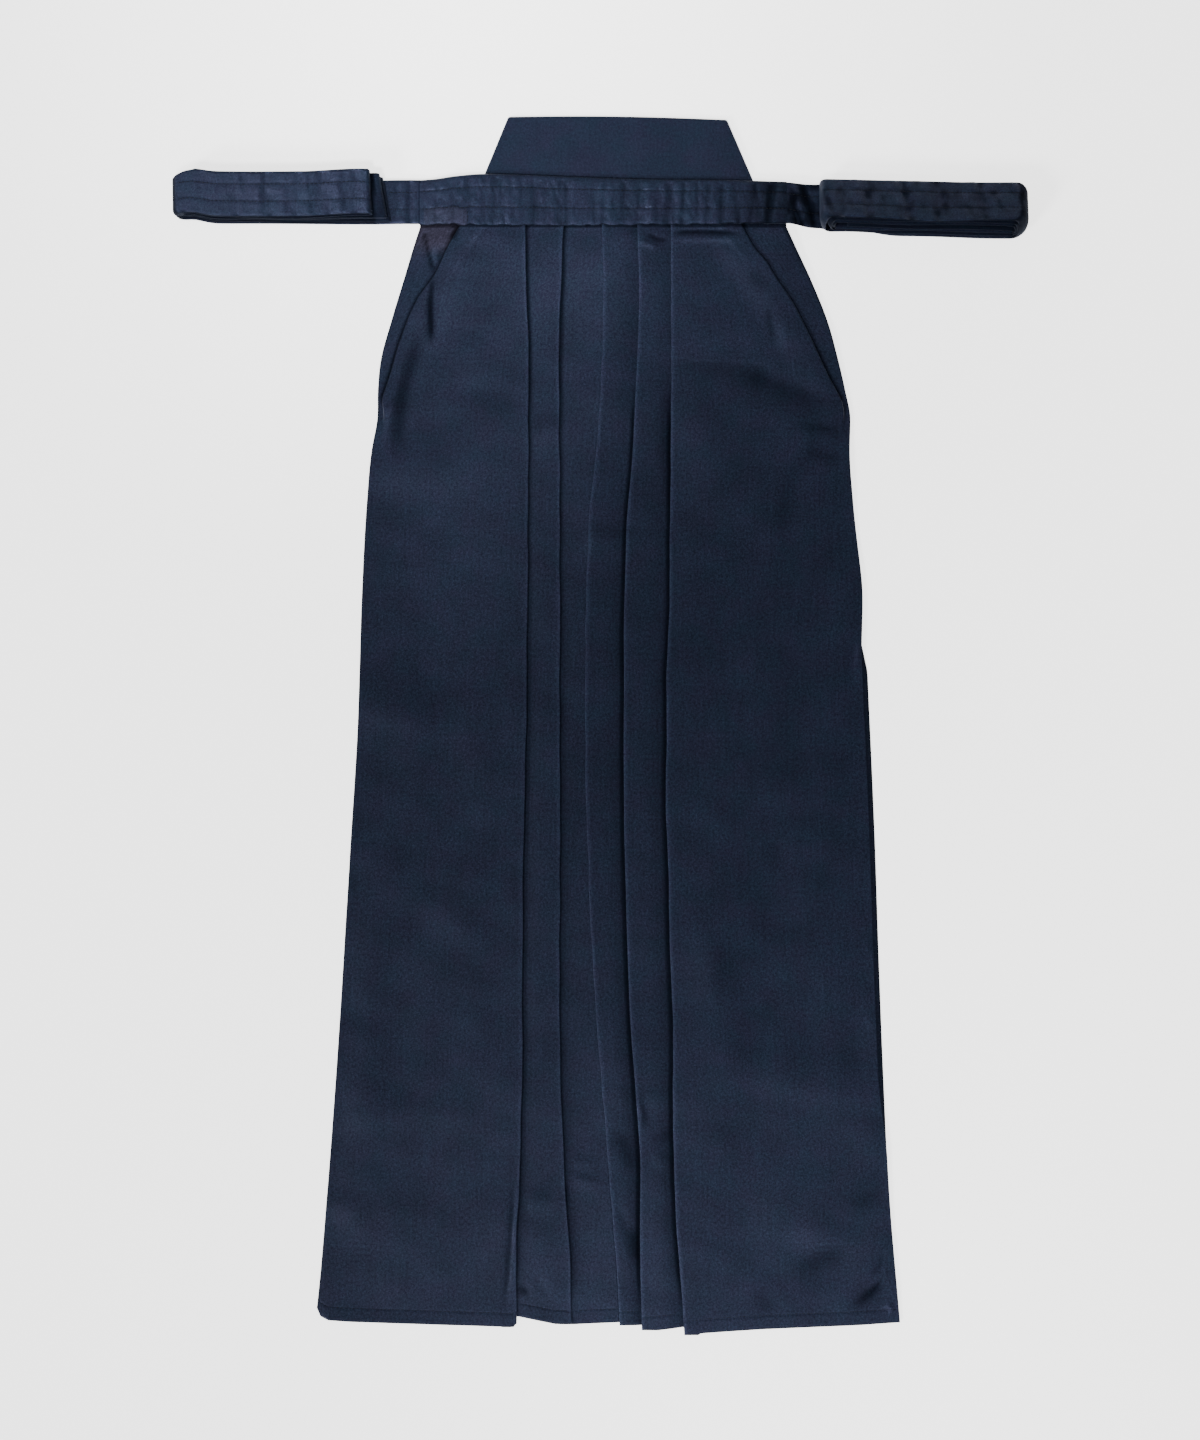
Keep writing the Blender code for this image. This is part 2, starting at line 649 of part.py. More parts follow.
def main():
    for old in list(bpy.data.objects):
        bpy.data.objects.remove(old, do_unlink=True)
    hakama = bpy.data.collections.new("hakama_trousers")
    bpy.context.scene.collection.children.link(hakama)
    twill = material("navy_twill", NAVY, 0.85)
    board_cloth = material("navy_board_cloth", NAVY_SMOOTH, 0.8)
    strap_cloth = material("navy_strap_cloth", NAVY, 0.8)

    wall("back_right_leg", back_leg(RIGHT), CLOTH, twill, hakama)
    wall("back_left_leg", back_leg(LEFT), CLOTH, twill, hakama)
    wall("gusset", gusset(), CLOTH, twill, hakama)
    wall("front_right_leg", front_leg(RIGHT), CLOTH, twill, hakama)
    wall("front_left_leg", front_leg(LEFT), CLOTH, twill, hakama)
    back_board(board_cloth, hakama)
    wall("waistband", waistband(), STRAP, strap_cloth, hakama)
    wall("front_strap_right", front_strap(RIGHT), STRAP, strap_cloth, hakama)
    wall("front_strap_left", front_strap(LEFT), STRAP, strap_cloth, hakama)
    wall("back_strap_right", back_strap(RIGHT), CLOTH, strap_cloth, hakama)
    wall("back_strap_left", back_strap(LEFT), CLOTH, strap_cloth, hakama)


if __name__ == "__main__":
    main()
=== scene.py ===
"""Looks of a pair of hakama trousers laid flat, front up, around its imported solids.

All sizes are in millimetres until a mesh is made. The frame is the part's own: +X is the
wearer's left, +Y runs from the hem to the waist, +Z is up from the surface it lies on.
Each piece of cloth is a surface of two parameters, worked out as whole arrays. It follows
the middle of its own solid, and adds the wearing creases, puckers, turned hem and stitches.
"""

import logging
import math
from dataclasses import dataclass, field
from enum import Enum
from functools import cached_property

import bpy
import numpy as np
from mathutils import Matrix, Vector
from numpy.typing import NDArray


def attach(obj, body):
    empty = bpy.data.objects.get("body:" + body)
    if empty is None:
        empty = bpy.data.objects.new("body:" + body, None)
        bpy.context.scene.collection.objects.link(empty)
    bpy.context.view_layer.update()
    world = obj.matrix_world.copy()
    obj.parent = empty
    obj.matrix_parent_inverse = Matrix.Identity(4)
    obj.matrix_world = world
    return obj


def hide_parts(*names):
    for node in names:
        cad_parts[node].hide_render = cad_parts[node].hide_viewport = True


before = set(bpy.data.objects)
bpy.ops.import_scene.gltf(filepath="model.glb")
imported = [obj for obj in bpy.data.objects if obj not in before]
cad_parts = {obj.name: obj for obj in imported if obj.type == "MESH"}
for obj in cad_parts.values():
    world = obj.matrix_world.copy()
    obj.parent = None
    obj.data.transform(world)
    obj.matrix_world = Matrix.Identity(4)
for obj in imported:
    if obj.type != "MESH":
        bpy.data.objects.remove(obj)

Array = NDArray[np.float64]
Faces = NDArray[np.int32]
Pair = tuple[float, float]
Triple = tuple[float, float, float]
Line = tuple[Array, Array]  # places on the cloth, and the way up at each of them
Fold = tuple[float, float, float, float]  # place along a strip, height, lean and width
Piece = bpy.types.Object
Material = bpy.types.Material
Socket = bpy.types.NodeSocket

LOG = logging.getLogger("hakama")
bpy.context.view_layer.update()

MM = 0.001
ROOT = "root"

# Cloth
CLOTH = 0.4  # wall of a panel
STRAP = 1.2  # wall of the front strap
PLY = 0.58  # from one layer of a pleat to the next, middle to middle
FOLD_REACH = PLY / 2 + CLOTH / 2  # from a pressed edge to the middle of its fold
LOOSE = 0.7  # how high a panel lies over the solids' own bed, so that it can sink

# The solids that this cloth stands for
SOLID_CLOTH = 1.0
SOLID_PLY = 1.5
REST_GAP = 0.4  # between pieces that lie on each other

# Lengths
WAIST_Y = 413.5
HEM_CURVE_Y = -352.0
HEM_ROW_Y = -497.0
SLIT_END_Y = 45.0


class Side(Enum):
    """The wearer's side, as the sign of X."""

    RIGHT = -1
    LEFT = 1

    @property
    def word(self) -> str:
        """The side's name in the names of nodes and pieces."""
        return self.name.lower()


# ---------------------------------------------------------------- curves and fields
def smooth(share: Array | float) -> Array:
    """Eased share: 3t² - 2t³ with t clamped to 0..1, so both ends are level."""
    t = np.clip(share, 0.0, 1.0)
    return t * t * (3.0 - 2.0 * t)


@dataclass(frozen=True)
class Track:
    """A smooth curve through a short table of places and values.

    Between two rows it is the cubic with their values and tangents. A tangent is the mean
    of the slopes on both sides, or zero where these have opposite signs.
    """

    places: tuple[float, ...]
    values: tuple[float, ...]

    def __call__(self, where: Array | float) -> Array:
        """Values of the curve.

        Args:
            where: places along the table, clamped to its ends.

        Returns:
            The value at each place, in the shape of where.
        """
        order = np.argsort(self.places)
        xs = np.array(self.places, float)[order]
        ys = np.array(self.values, float)[order]
        slopes = np.diff(ys) / np.diff(xs)
        tangents = np.concatenate([slopes[:1], (slopes[:-1] + slopes[1:]) / 2, slopes[-1:]])
        tangents[1:-1][slopes[:-1] * slopes[1:] <= 0] = 0.0
        where = np.clip(np.asarray(where, float), xs[0], xs[-1])
        i = np.clip(np.searchsorted(xs, where) - 1, 0, len(xs) - 2)
        step = xs[i + 1] - xs[i]
        t = (where - xs[i]) / step
        start = ys[i] * (1 + 2 * t) * (1 - t) ** 2 + tangents[i] * step * t * (1 - t) ** 2
        end = ys[i + 1] * t * t * (3 - 2 * t) + tangents[i + 1] * step * t * t * (t - 1)
        return start + end


@dataclass(frozen=True)
class Waves:
    """Soft uneven height: a seeded sum of plane waves between two wavelengths."""

    seed: int
    height: float
    shortest: float
    longest: float
    count: int = 14
    stretch: tuple[float, float] = (1.0, 1.0)

    def __call__(self, x: Array | float, y: Array | float) -> Array:
        """Sum of count sines in random directions, scaled to a root mean square of height.

        Args:
            x: places across.
            y: places along. The two numbers of stretch lengthen the waves in x and y.

        Returns:
            The height at each place.
        """
        draw = np.random.default_rng(self.seed)
        lengths = np.exp(draw.uniform(math.log(self.shortest), math.log(self.longest), self.count))
        angles = draw.uniform(0, math.tau, self.count)
        phases = draw.uniform(0, math.tau, self.count)
        total = np.zeros(np.broadcast(x, y).shape)
        for length, angle, phase in zip(lengths, angles, phases):
            k = math.tau / length
            across, along = math.cos(angle) / self.stretch[0], math.sin(angle) / self.stretch[1]
            total += np.sin(k * (x * across + y * along) + phase)
        return self.height * total * math.sqrt(2.0 / self.count)


@dataclass(frozen=True)
class Crease:
    """A soft fold along a bent line: height above the cloth, or depth where negative.

    At distance d from the line it is height * exp(-(d / width)²). Its right side, seen
    along the line, is broad instead of width where broad is given. It fades at both ends.
    dark is the painted shade along it, and painted light where negative.
    """

    path: tuple[tuple[float, float], ...]
    height: float
    width: float
    fade: float = 0.35
    dark: float = 0.0
    broad: float = 0.0

    def profile(self, x: Array, y: Array) -> Array:
        """The fold's own shape.

        Args:
            x: places across.
            y: places along.

        Returns:
            1 on its line and nearly 0 at three widths from it, where the sum is cut off.
        """
        points = np.array(self.path, float)
        lengths = np.hypot(*np.diff(points, axis=0).T)
        ends = running(lengths)
        far = 3.0 * max(self.width, self.broad)
        low, high = points.min(0) - far, points.max(0) + far
        near = (x > low[0]) & (x < high[0]) & (y > low[1]) & (y < high[1])
        total = np.zeros(x.shape)
        if not near.any():
            return total
        at = np.stack([x[near], y[near]], axis=-1)
        best = np.full(len(at), np.inf)
        signed = np.zeros(len(at))
        share = np.zeros(len(at))
        for start, end, length, run in zip(points[:-1], points[1:], lengths, ends[:-1]):
            way = (end - start) / length
            t = np.clip((at - start) @ way, 0.0, length)
            away = at - start - t[:, None] * way
            distance = np.hypot(*away.T)
            closer = distance < best
            side = np.sign(way[0] * away[:, 1] - way[1] * away[:, 0])
            best = np.where(closer, distance, best)
            signed = np.where(closer, side, signed)
            share = np.where(closer, (run + t) / ends[-1], share)
        ease = smooth(share / self.fade) * smooth((1.0 - share) / self.fade)
        width = np.where(signed < 0, self.broad or self.width, self.width)
        total[near] = np.exp(-((best / width) ** 2)) * ease
        return total

    def __call__(self, x: Array, y: Array) -> Array:
        """Height that the crease adds at each place."""
        return self.height * self.profile(x, y)


@dataclass(frozen=True)
class Relief:
    """All that lifts one panel off its plain form: its creases and its uneven lie."""

    creases: tuple[Crease, ...]
    waves: tuple[Waves, ...]
    gain: float = 2.0

    def __call__(self, x: Array, y: Array) -> Array:
        """Sum of the creases, times the gain, and the waves at each place."""
        lifts = [self.gain * crease(x, y) for crease in self.creases] + [wave(x, y) for wave in self.waves]
        return sum(lifts, np.zeros(np.broadcast(x, y).shape))

    def gloom(self, x: Array, y: Array) -> Array:
        """Painted shade of the creases at each place: the sum of their shares, painted light where below 0.
        """
        dark = [crease.dark * crease.profile(x, y) for crease in self.creases if crease.dark]
        return sum(dark, np.zeros(x.shape))


def arc(radius: float, start: float, end: float, count: int) -> tuple[Array, Array]:
    """Offsets from the centre of count points on an arc, angles in degrees, ends included."""
    angles = np.radians(np.linspace(start, end, count))
    return radius * np.cos(angles), radius * np.sin(angles)


def pressed(distance: Array, width: Array | float) -> Array:
    """How near a place is to a pressed edge: exp(-(distance / width)²)."""
    return np.exp(-((distance / width) ** 2))


def running(steps: Array) -> Array:
    """Distance of each place from the first, from the steps between them."""
    return np.concatenate([[0.0], np.cumsum(steps)])


# ---------------------------------------------------------------- the garment's plan
@dataclass(frozen=True)
class Plan:
    """Where the edges, pleats, tucks and hems run, shared by all the pieces."""

    outline: dict[Side, Track] = field(
        default_factory=lambda: {
            Side.RIGHT: Track(Plan.OUTLINE_Y, Plan.OUTLINE_RIGHT),
            Side.LEFT: Track(Plan.OUTLINE_Y, Plan.OUTLINE_LEFT),
        }
    )

    OUTLINE_Y = (
        413.5, 395.0, 370.0, 337.0, 304.0, 279.0, 254.0, 229.0,
        187.5, 104.5, 5.0, -94.5, -194.0, -294.0, -393.5, -497.0,
    )
    OUTLINE_RIGHT = (
        -150.0, -156.0, -163.5, -173.5, -182.5, -185.0, -185.5, -190.0,
        -194.0, -198.5, -201.5, -207.5, -213.5, -220.0, -227.5, -235.5,
    )
    OUTLINE_LEFT = (
        153.5, 162.2, 174.0, 187.4, 196.6, 202.4, 206.8, 206.2,
        208.9, 217.8, 223.0, 227.3, 230.6, 234.5, 239.4, 248.0,
    )

    PLEAT_Y = (
        413.5, 362.0, 304.0, 233.0, 158.5, -28.0, -128.0, -194.0, -302.0, -368.5, -447.5, -497.0,
    )
    PLEATS = {
        "p1": (-63, -61.5, -60, -60, -60.5, -62.5, -64.5, -65, -65.5, -67, -70, -69.5),
        "p2": (-30.5, -33, -35, -34, -34, -34, -34, -34, -33, -30.5, -25.5, -24),
        "p3": (1, 2, 1, -3.5, -10.5, -13, -10, -7, 1, 6.5, 12.5, 15),
        "p4": (30.5, 31.5, 30, 26.5, 21, 19, 20, 22, 28, 32.5, 32.5, 34),
        "p5": (58, 58, 58, 58, 57.5, 53.5, 55.5, 58, 60, 60.5, 65.5, 69),
    }
    PLEAT_DEPTH = 11.0
    LEAST_DEPTH = 4.0
    STRIP_RAMP = 18.0
    STRIP_LAP = 1.5
    FOLD_CLEAR = 2.5
    WOBBLE = {"p1": 11, "p2": 12, "p3": 13, "p4": 14, "p5": 15}

    TUCK_Y = (415.0, 395.0, 384.0, 374.5, 353.5, 320.5, 291.5, 272.0)
    TUCK_RIGHT = (-116.0, -127.5, -132.4, -137.3, -152.0, -166.0, -174.5, -181.0)
    TUCK_LEFT = (116.0, 127.5, 137.0, 142.5, 157.0, 174.0, 187.5, 198.0)
    TUCK_END_INSET = 3.0
    TUCK_PLY = 1.15
    TUCK_OPEN_Y = 261.0
    TUCK_DEPTH = Track((415.0, 272.0, 215.0), (18.0, 0.4, 0.4))
    TUCK_TURN = Track((415.0, 272.0, 263.0, 255.0, 247.0, 238.0), (180, 180, 110, 48, 12, 0))

    HEM_OUTER = {
        Side.RIGHT: (
            (-236.0, -232.5, -226.0, -206.5, -127.0, -69.5),
            (-481.0, -489.0, -492.5, -494.0, -496.5, -498.0),
        ),
        Side.LEFT: (
            (69.0, 85.5, 132.0, 218.5, 248.0),
            (-504.5, -503.0, -500.0, -496.5, -494.5),
        ),
    }
    HEM_STEPS = {
        "p1": (-498.0, -489.5, -495.5),
        "p2": (-495.5, -496.0, -494.0),
        "p5": (-504.5, -498.0, -500.5),
        "p4": (-500.5, -496.5, -496.5),
        "p3": (-496.5, -495.0, -495.0),
    }

    LEFT_PEEK = 4.5
    PEEK_Y = (125.0, -360.0)
    PEEK_EASE = 0.15

    BED_LOW = SOLID_CLOTH + REST_GAP
    BED_HIGH = SOLID_CLOTH + 2 * SOLID_PLY + REST_GAP
    BED_NARROW = (-90.0, 88.0)
    BED_WIDE = (-117.0, 146.0)
    BED_Y = (412.0, 250.0)
    BED_RAMPS = (130.0, 40.0)
    BED_SETTLED = 2.0

    def pleat(self, name: str, y: Array) -> Array:
        """X of a pleat's pressed edge, which wanders by a third of a millimetre."""
        wander = Waves(self.WOBBLE[name], 0.28, 35.0, 160.0)
        return Track(self.PLEAT_Y, self.PLEATS[name])(y) + wander(0.0, y)

    def pleat_depth(self, next_strip: Array) -> Array:
        """Hidden depth of a pleat whose next strip is this wide."""
        room = next_strip - self.STRIP_RAMP - self.FOLD_CLEAR - self.STRIP_LAP
        return np.clip(room, self.LEAST_DEPTH, self.PLEAT_DEPTH)

    def centre_seam(self, y: Array) -> Array:
        """X of the centre-front seam, half-way in under the third pleat."""
        third = self.pleat("p3", y)
        return third + self.pleat_depth(self.pleat("p4", y) - third) / 2

    def tuck(self, side: Side, y: Array | float) -> Array:
        """X of the side tuck's slanting pressed edge."""
        values = self.TUCK_RIGHT if side is Side.RIGHT else self.TUCK_LEFT
        return Track(self.TUCK_Y, values)(y)

    def front_edge(self, side: Side, y: Array | float) -> Array:
        """X of a front panel's outer edge.

        Args:
            side: which panel.
            y: places along it.

        Returns:
            The garment's outline on the right. On the left it lies LEFT_PEEK further in
            between the two places of PEEK_Y, where the back panel peeks out.
        """
        edge = self.outline[side](y)
        if side is Side.RIGHT:
            return edge
        inside = (self.PEEK_Y[0] - y) / (self.PEEK_Y[0] - self.PEEK_Y[1])
        ease = smooth(inside / self.PEEK_EASE) * smooth((1.0 - inside) / self.PEEK_EASE)
        return edge - self.LEFT_PEEK * ease

    def bed(self, x: Array, y: Array | float) -> Array:
        """Height of the underside of the front cloth above the surface.

        Args:
            x: places across.
            y: places along.

        Returns:
            High over the folded layers in the middle, easing down to low beyond them. The
            high part narrows and settles from the waist down.
        """
        wide = smooth((y - self.BED_Y[1]) / (self.BED_Y[0] - self.BED_Y[1]))
        right = self.BED_NARROW[0] + (self.BED_WIDE[0] - self.BED_NARROW[0]) * wide
        left = self.BED_NARROW[1] + (self.BED_WIDE[1] - self.BED_NARROW[1]) * wide
        beyond = np.maximum(np.maximum(right - x, x - left), 0.0)
        ramp = self.BED_RAMPS[0] + (self.BED_RAMPS[1] - self.BED_RAMPS[0]) * wide
        high = self.BED_SETTLED + (self.BED_HIGH - self.BED_SETTLED) * wide
        return high + (self.BED_LOW - high) * smooth(beyond / ramp)


# ---------------------------------------------------------------- meshes
@dataclass(frozen=True)
class Surface:
    """A grid of points, rows by columns by XYZ, with the cloth's own place at each one.

    cloth holds the distance across and along the cloth. tint is 1 where the paler side of
    the cloth shows. press is painted light and shade, with some wear: 1 on a pressed edge,
    worn and painted paler as a highlight, and -1 in the deepest painted shade of a recess.
    """

    points: Array
    cloth: Array
    tint: Array
    press: Array

    @staticmethod
    def of(points: Array, tint: Array | None = None, press: Array | None = None) -> "Surface":
        """The surface of a grid, its cloth measured along the rows and the columns.

        Args:
            points: rows by columns by XYZ.
            tint: share of the paler side at each point, or none.
            press: painted light and shade at each point, with wear on pressed edges, or none.

        Returns:
            The surface, with distances that add up the steps between neighbours.
        """
        across = np.linalg.norm(np.diff(points, axis=1), axis=2)
        along = np.linalg.norm(np.diff(points, axis=0), axis=2)
        cloth = np.zeros((*points.shape[:2], 2))
        cloth[:, 1:, 0] = np.cumsum(across, axis=1)
        cloth[1:, :, 1] = np.cumsum(along, axis=0)
        cloth[:, :, 0] -= cloth[:, :, 0].mean(axis=1, keepdims=True)
        cloth[:, :, 1] = cloth[:, :, 1].mean(axis=1, keepdims=True)
        blank = np.zeros(points.shape[:2])
        tint, press = (blank if values is None else values for values in (tint, press))
        return Surface(points, cloth, tint, press)

    def area(self) -> float:
        """Area of the surface, each quad as two triangles.

        Returns:
            Square metres.
        """
        p = self.points * MM
        first = np.cross(p[1:, :-1] - p[:-1, :-1], p[1:, 1:] - p[:-1, :-1])
        second = np.cross(p[1:, 1:] - p[:-1, :-1], p[:-1, 1:] - p[:-1, :-1])
        return float((np.linalg.norm(first, axis=2) + np.linalg.norm(second, axis=2)).sum() / 2)

    def cut(self) -> tuple[float, float]:
        """Greatest width and length of the flat cloth, in metres."""
        widths = np.ptp(self.cloth[:, :, 0], axis=1)
        return float(widths.max() * MM), float(np.ptp(self.cloth[:, :, 1]) * MM)


def grid_faces(rows: int, columns: int, wrap: bool = False) -> Faces:
    """Quads of a grid whose points are numbered row by row.

    Args:
        rows: how many rows.
        columns: how many columns.
        wrap: whether the last column is joined to the first.

    Returns:
        Corner numbers, four for each quad.
    """
    index = np.arange(rows * columns, dtype=np.int32).reshape(rows, columns)
    if wrap:
        index = np.concatenate([index, index[:, :1]], axis=1)
    corners = (index[:-1, :-1], index[:-1, 1:], index[1:, 1:], index[1:, :-1])
    return np.stack(corners, axis=-1).reshape(-1, 4)


def link(name: str, data: bpy.types.ID) -> Piece:
    """A new object of some data, linked to the scene, at the origin."""
    made = bpy.data.objects.new(name, data)
    bpy.context.scene.collection.objects.link(made)
    return made


def make_mesh(name: str, points: Array, faces: list[Faces]) -> Piece:
    """A smooth-shaded object from points in millimetres and arrays of equal-sided faces.

    Args:
        name: the piece's name.
        points: any number of XYZ rows.
        faces: arrays of corner numbers, one array for each number of corners.

    Returns:
        The new object, linked to the scene, at the origin.
    """
    mesh = bpy.data.meshes.new(name)
    loops = np.concatenate([part.ravel() for part in faces]).astype(np.int32)
    totals = np.concatenate([np.full(len(part), part.shape[1]) for part in faces]).astype(np.int32)
    starts = np.concatenate([[0], np.cumsum(totals)[:-1]]).astype(np.int32)
    mesh.vertices.add(len(points))
    mesh.vertices.foreach_set("co", (points * MM).astype(np.float32).ravel())
    mesh.loops.add(len(loops))
    mesh.loops.foreach_set("vertex_index", loops)
    mesh.polygons.add(len(totals))
    mesh.polygons.foreach_set("loop_start", starts)
    mesh.update(calc_edges=True)
    mesh.shade_smooth()
    return link(name, mesh)


def add_values(piece: Piece, cloth: Array, tint: Array, press: Array) -> None:
    """Stores what the finish reads on the mesh's points.

    Args:
        piece: the piece.
        cloth: place on the cloth, across and along, in millimetres.
        tint: share of the paler side.
        press: painted light and shade at each point: above 0 a pressed edge, worn and painted paler as a
            highlight, and below 0 painted shade.
    """
    mesh = piece.data
    place = np.zeros((len(mesh.vertices), 3), np.float32)
    place[:, :2] = cloth.reshape(-1, 2) * MM
    mesh.attributes.new("cloth", "FLOAT_VECTOR", "POINT").data.foreach_set("vector", place.ravel())
    for name, values in (("tint", tint), ("press", press)):
        data = mesh.attributes.new(name, "FLOAT", "POINT").data
        data.foreach_set("value", values.astype(np.float32).ravel())


def cloth_wall(name: str, surface: Surface, thickness: float) -> Piece:
    """A wall of even thickness about an open surface, by Solidify.

    Args:
        name: the piece's name.
        surface: its middle surface.
        thickness: of the wall.

    Returns:
        The new object.
    """
    rows, columns = surface.points.shape[:2]
    made = make_mesh(name, surface.points.reshape(-1, 3), [grid_faces(rows, columns)])
    add_values(made, surface.cloth, surface.tint, surface.press)
    wall = made.modifiers.new("Cloth", "SOLIDIFY")
    wall.thickness = thickness * MM
    wall.offset = 0.0
    wall.use_even_offset = True
    wall.use_quality_normals = True
    return made


def closed_tube(name: str, surface: Surface, flip: bool) -> Piece:
    """A tube from a grid whose columns run round it, its two ends closed.

    Args:
        name: the piece's name.
        surface: one row of points for each section.
        flip: whether the columns run the other way round, so that faces point out.

    Returns:
        The new object.
    """
    rows, columns = surface.points.shape[:2]
    sides = grid_faces(rows, columns, wrap=True)
    first = np.arange(columns, dtype=np.int32)[None, ::-1]
    last = np.arange((rows - 1) * columns, rows * columns, dtype=np.int32)[None, :]
    faces = [sides, first, last]
    if flip:
        faces = [part[:, ::-1] for part in faces]
    made = make_mesh(name, surface.points.reshape(-1, 3), faces)
    flat = np.zeros(len(sides) + 2, bool)
    flat[-2:] = True
    made.data.attributes.new("sharp_face", "BOOLEAN", "FACE").data.foreach_set("value", flat)
    add_values(made, surface.cloth, surface.tint, surface.press)
    return made


# ---------------------------------------------------------------- finishes
class NodeDraft:
    """Short calls for the nodes of one material."""

    def __init__(self, name: str) -> None:
        """Starts a material with a Principled shader."""
        self.material = bpy.data.materials.new(name)
        self.material.use_nodes = True
        self.tree = self.material.node_tree
        self.shader = self.tree.nodes["Principled BSDF"]

    def node(self, kind: str, inputs: dict[str | int, object], **settings: str) -> bpy.types.Node:
        """Adds one node.

        Args:
            kind: its type, without the leading ShaderNode.
            inputs: what goes into each input: an output of another node, or a value.
            settings: the node's own choices.

        Returns:
            The new node.
        """
        made = self.tree.nodes.new("ShaderNode" + kind)
        for name, value in settings.items():
            setattr(made, name, value)
        for name, value in inputs.items():
            if isinstance(value, Socket):
                self.tree.links.new(value, made.inputs[name])
            else:
                made.inputs[name].default_value = value
        return made

    def attribute(self, name: str, output: str) -> Socket:
        """Reads a stored value of the mesh."""
        return self.node("Attribute", {}, attribute_name=name).outputs[output]

    def scaled(self, vector: Socket, scale: Triple, turn: float = 0.0) -> Socket:
        """The vector turned about Z by turn degrees and scaled on each axis."""
        inputs = {"Vector": vector, "Scale": scale, "Rotation": (0.0, 0.0, math.radians(turn))}
        return self.node("Mapping", inputs).outputs["Vector"]

    def noise(self, vector: Socket, scale: float, detail: float = 2.0, rough: float = 0.5) -> Socket:
        """Noise between 0 and 1 about the middle."""
        inputs = {"Vector": vector, "Scale": scale, "Detail": detail, "Roughness": rough}
        return self.node("TexNoise", inputs).outputs["Fac"]

    def waves(self, vector: Socket, scale: float, distortion: float) -> Socket:
        """Sine bands across X."""
        inputs = {"Vector": vector, "Scale": scale, "Distortion": distortion, "Detail": 1.0}
        return self.node("TexWave", inputs, wave_profile="SIN").outputs["Fac"]

    def spread(self, value: Socket, low: float, high: float, to: Pair) -> Socket:
        """Maps low..high to the two values of to, clamped."""
        inputs = {"Value": value, "From Min": low, "From Max": high, "To Min": to[0], "To Max": to[1]}
        return self.node("MapRange", inputs).outputs["Result"]

    def math(self, kind: str, first: Socket, second: Socket | float) -> Socket:
        """One arithmetic step on two values."""
        return self.node("Math", {0: first, 1: second}, operation=kind).outputs[0]

    def mix(self, share: Socket, first: Socket | Triple, second: Socket | Triple) -> Socket:
        """Mixes two colours, each given as a socket or as red, green and blue."""
        both = [(*colour, 1.0) if isinstance(colour, tuple) else colour for colour in (first, second)]
        return self.node("Mix", {"Factor": share, 6: both[0], 7: both[1]}, data_type="RGBA").outputs[2]

    def shade(self, colour: Socket | Triple, amount: Socket) -> Socket:
        """The colour, a socket or red, green and blue, multiplied by an amount."""
        return self.node("VectorMath", {0: colour, "Scale": amount}, operation="SCALE").outputs[0]

    def bump(self, height: Socket, distance: float, strength: float, under: Socket | None = None) -> Socket:
        """A bump of a height in metres, over another bump where under is given."""
        inputs = {"Height": height, "Distance": distance, "Strength": strength}
        return self.node("Bump", inputs if under is None else inputs | {"Normal": under}).outputs["Normal"]

    def link(self, output: Socket, socket: str) -> None:
        """Joins an output to one of the shader's sockets."""
        self.tree.links.new(output, self.shader.inputs[socket])

    def set_plain(self, values: dict[str, float | tuple[float, ...]]) -> None:
        """Sets what is the same all over the surface on the shader's own sockets."""
        for socket, value in values.items():
            self.shader.inputs[socket].default_value = value


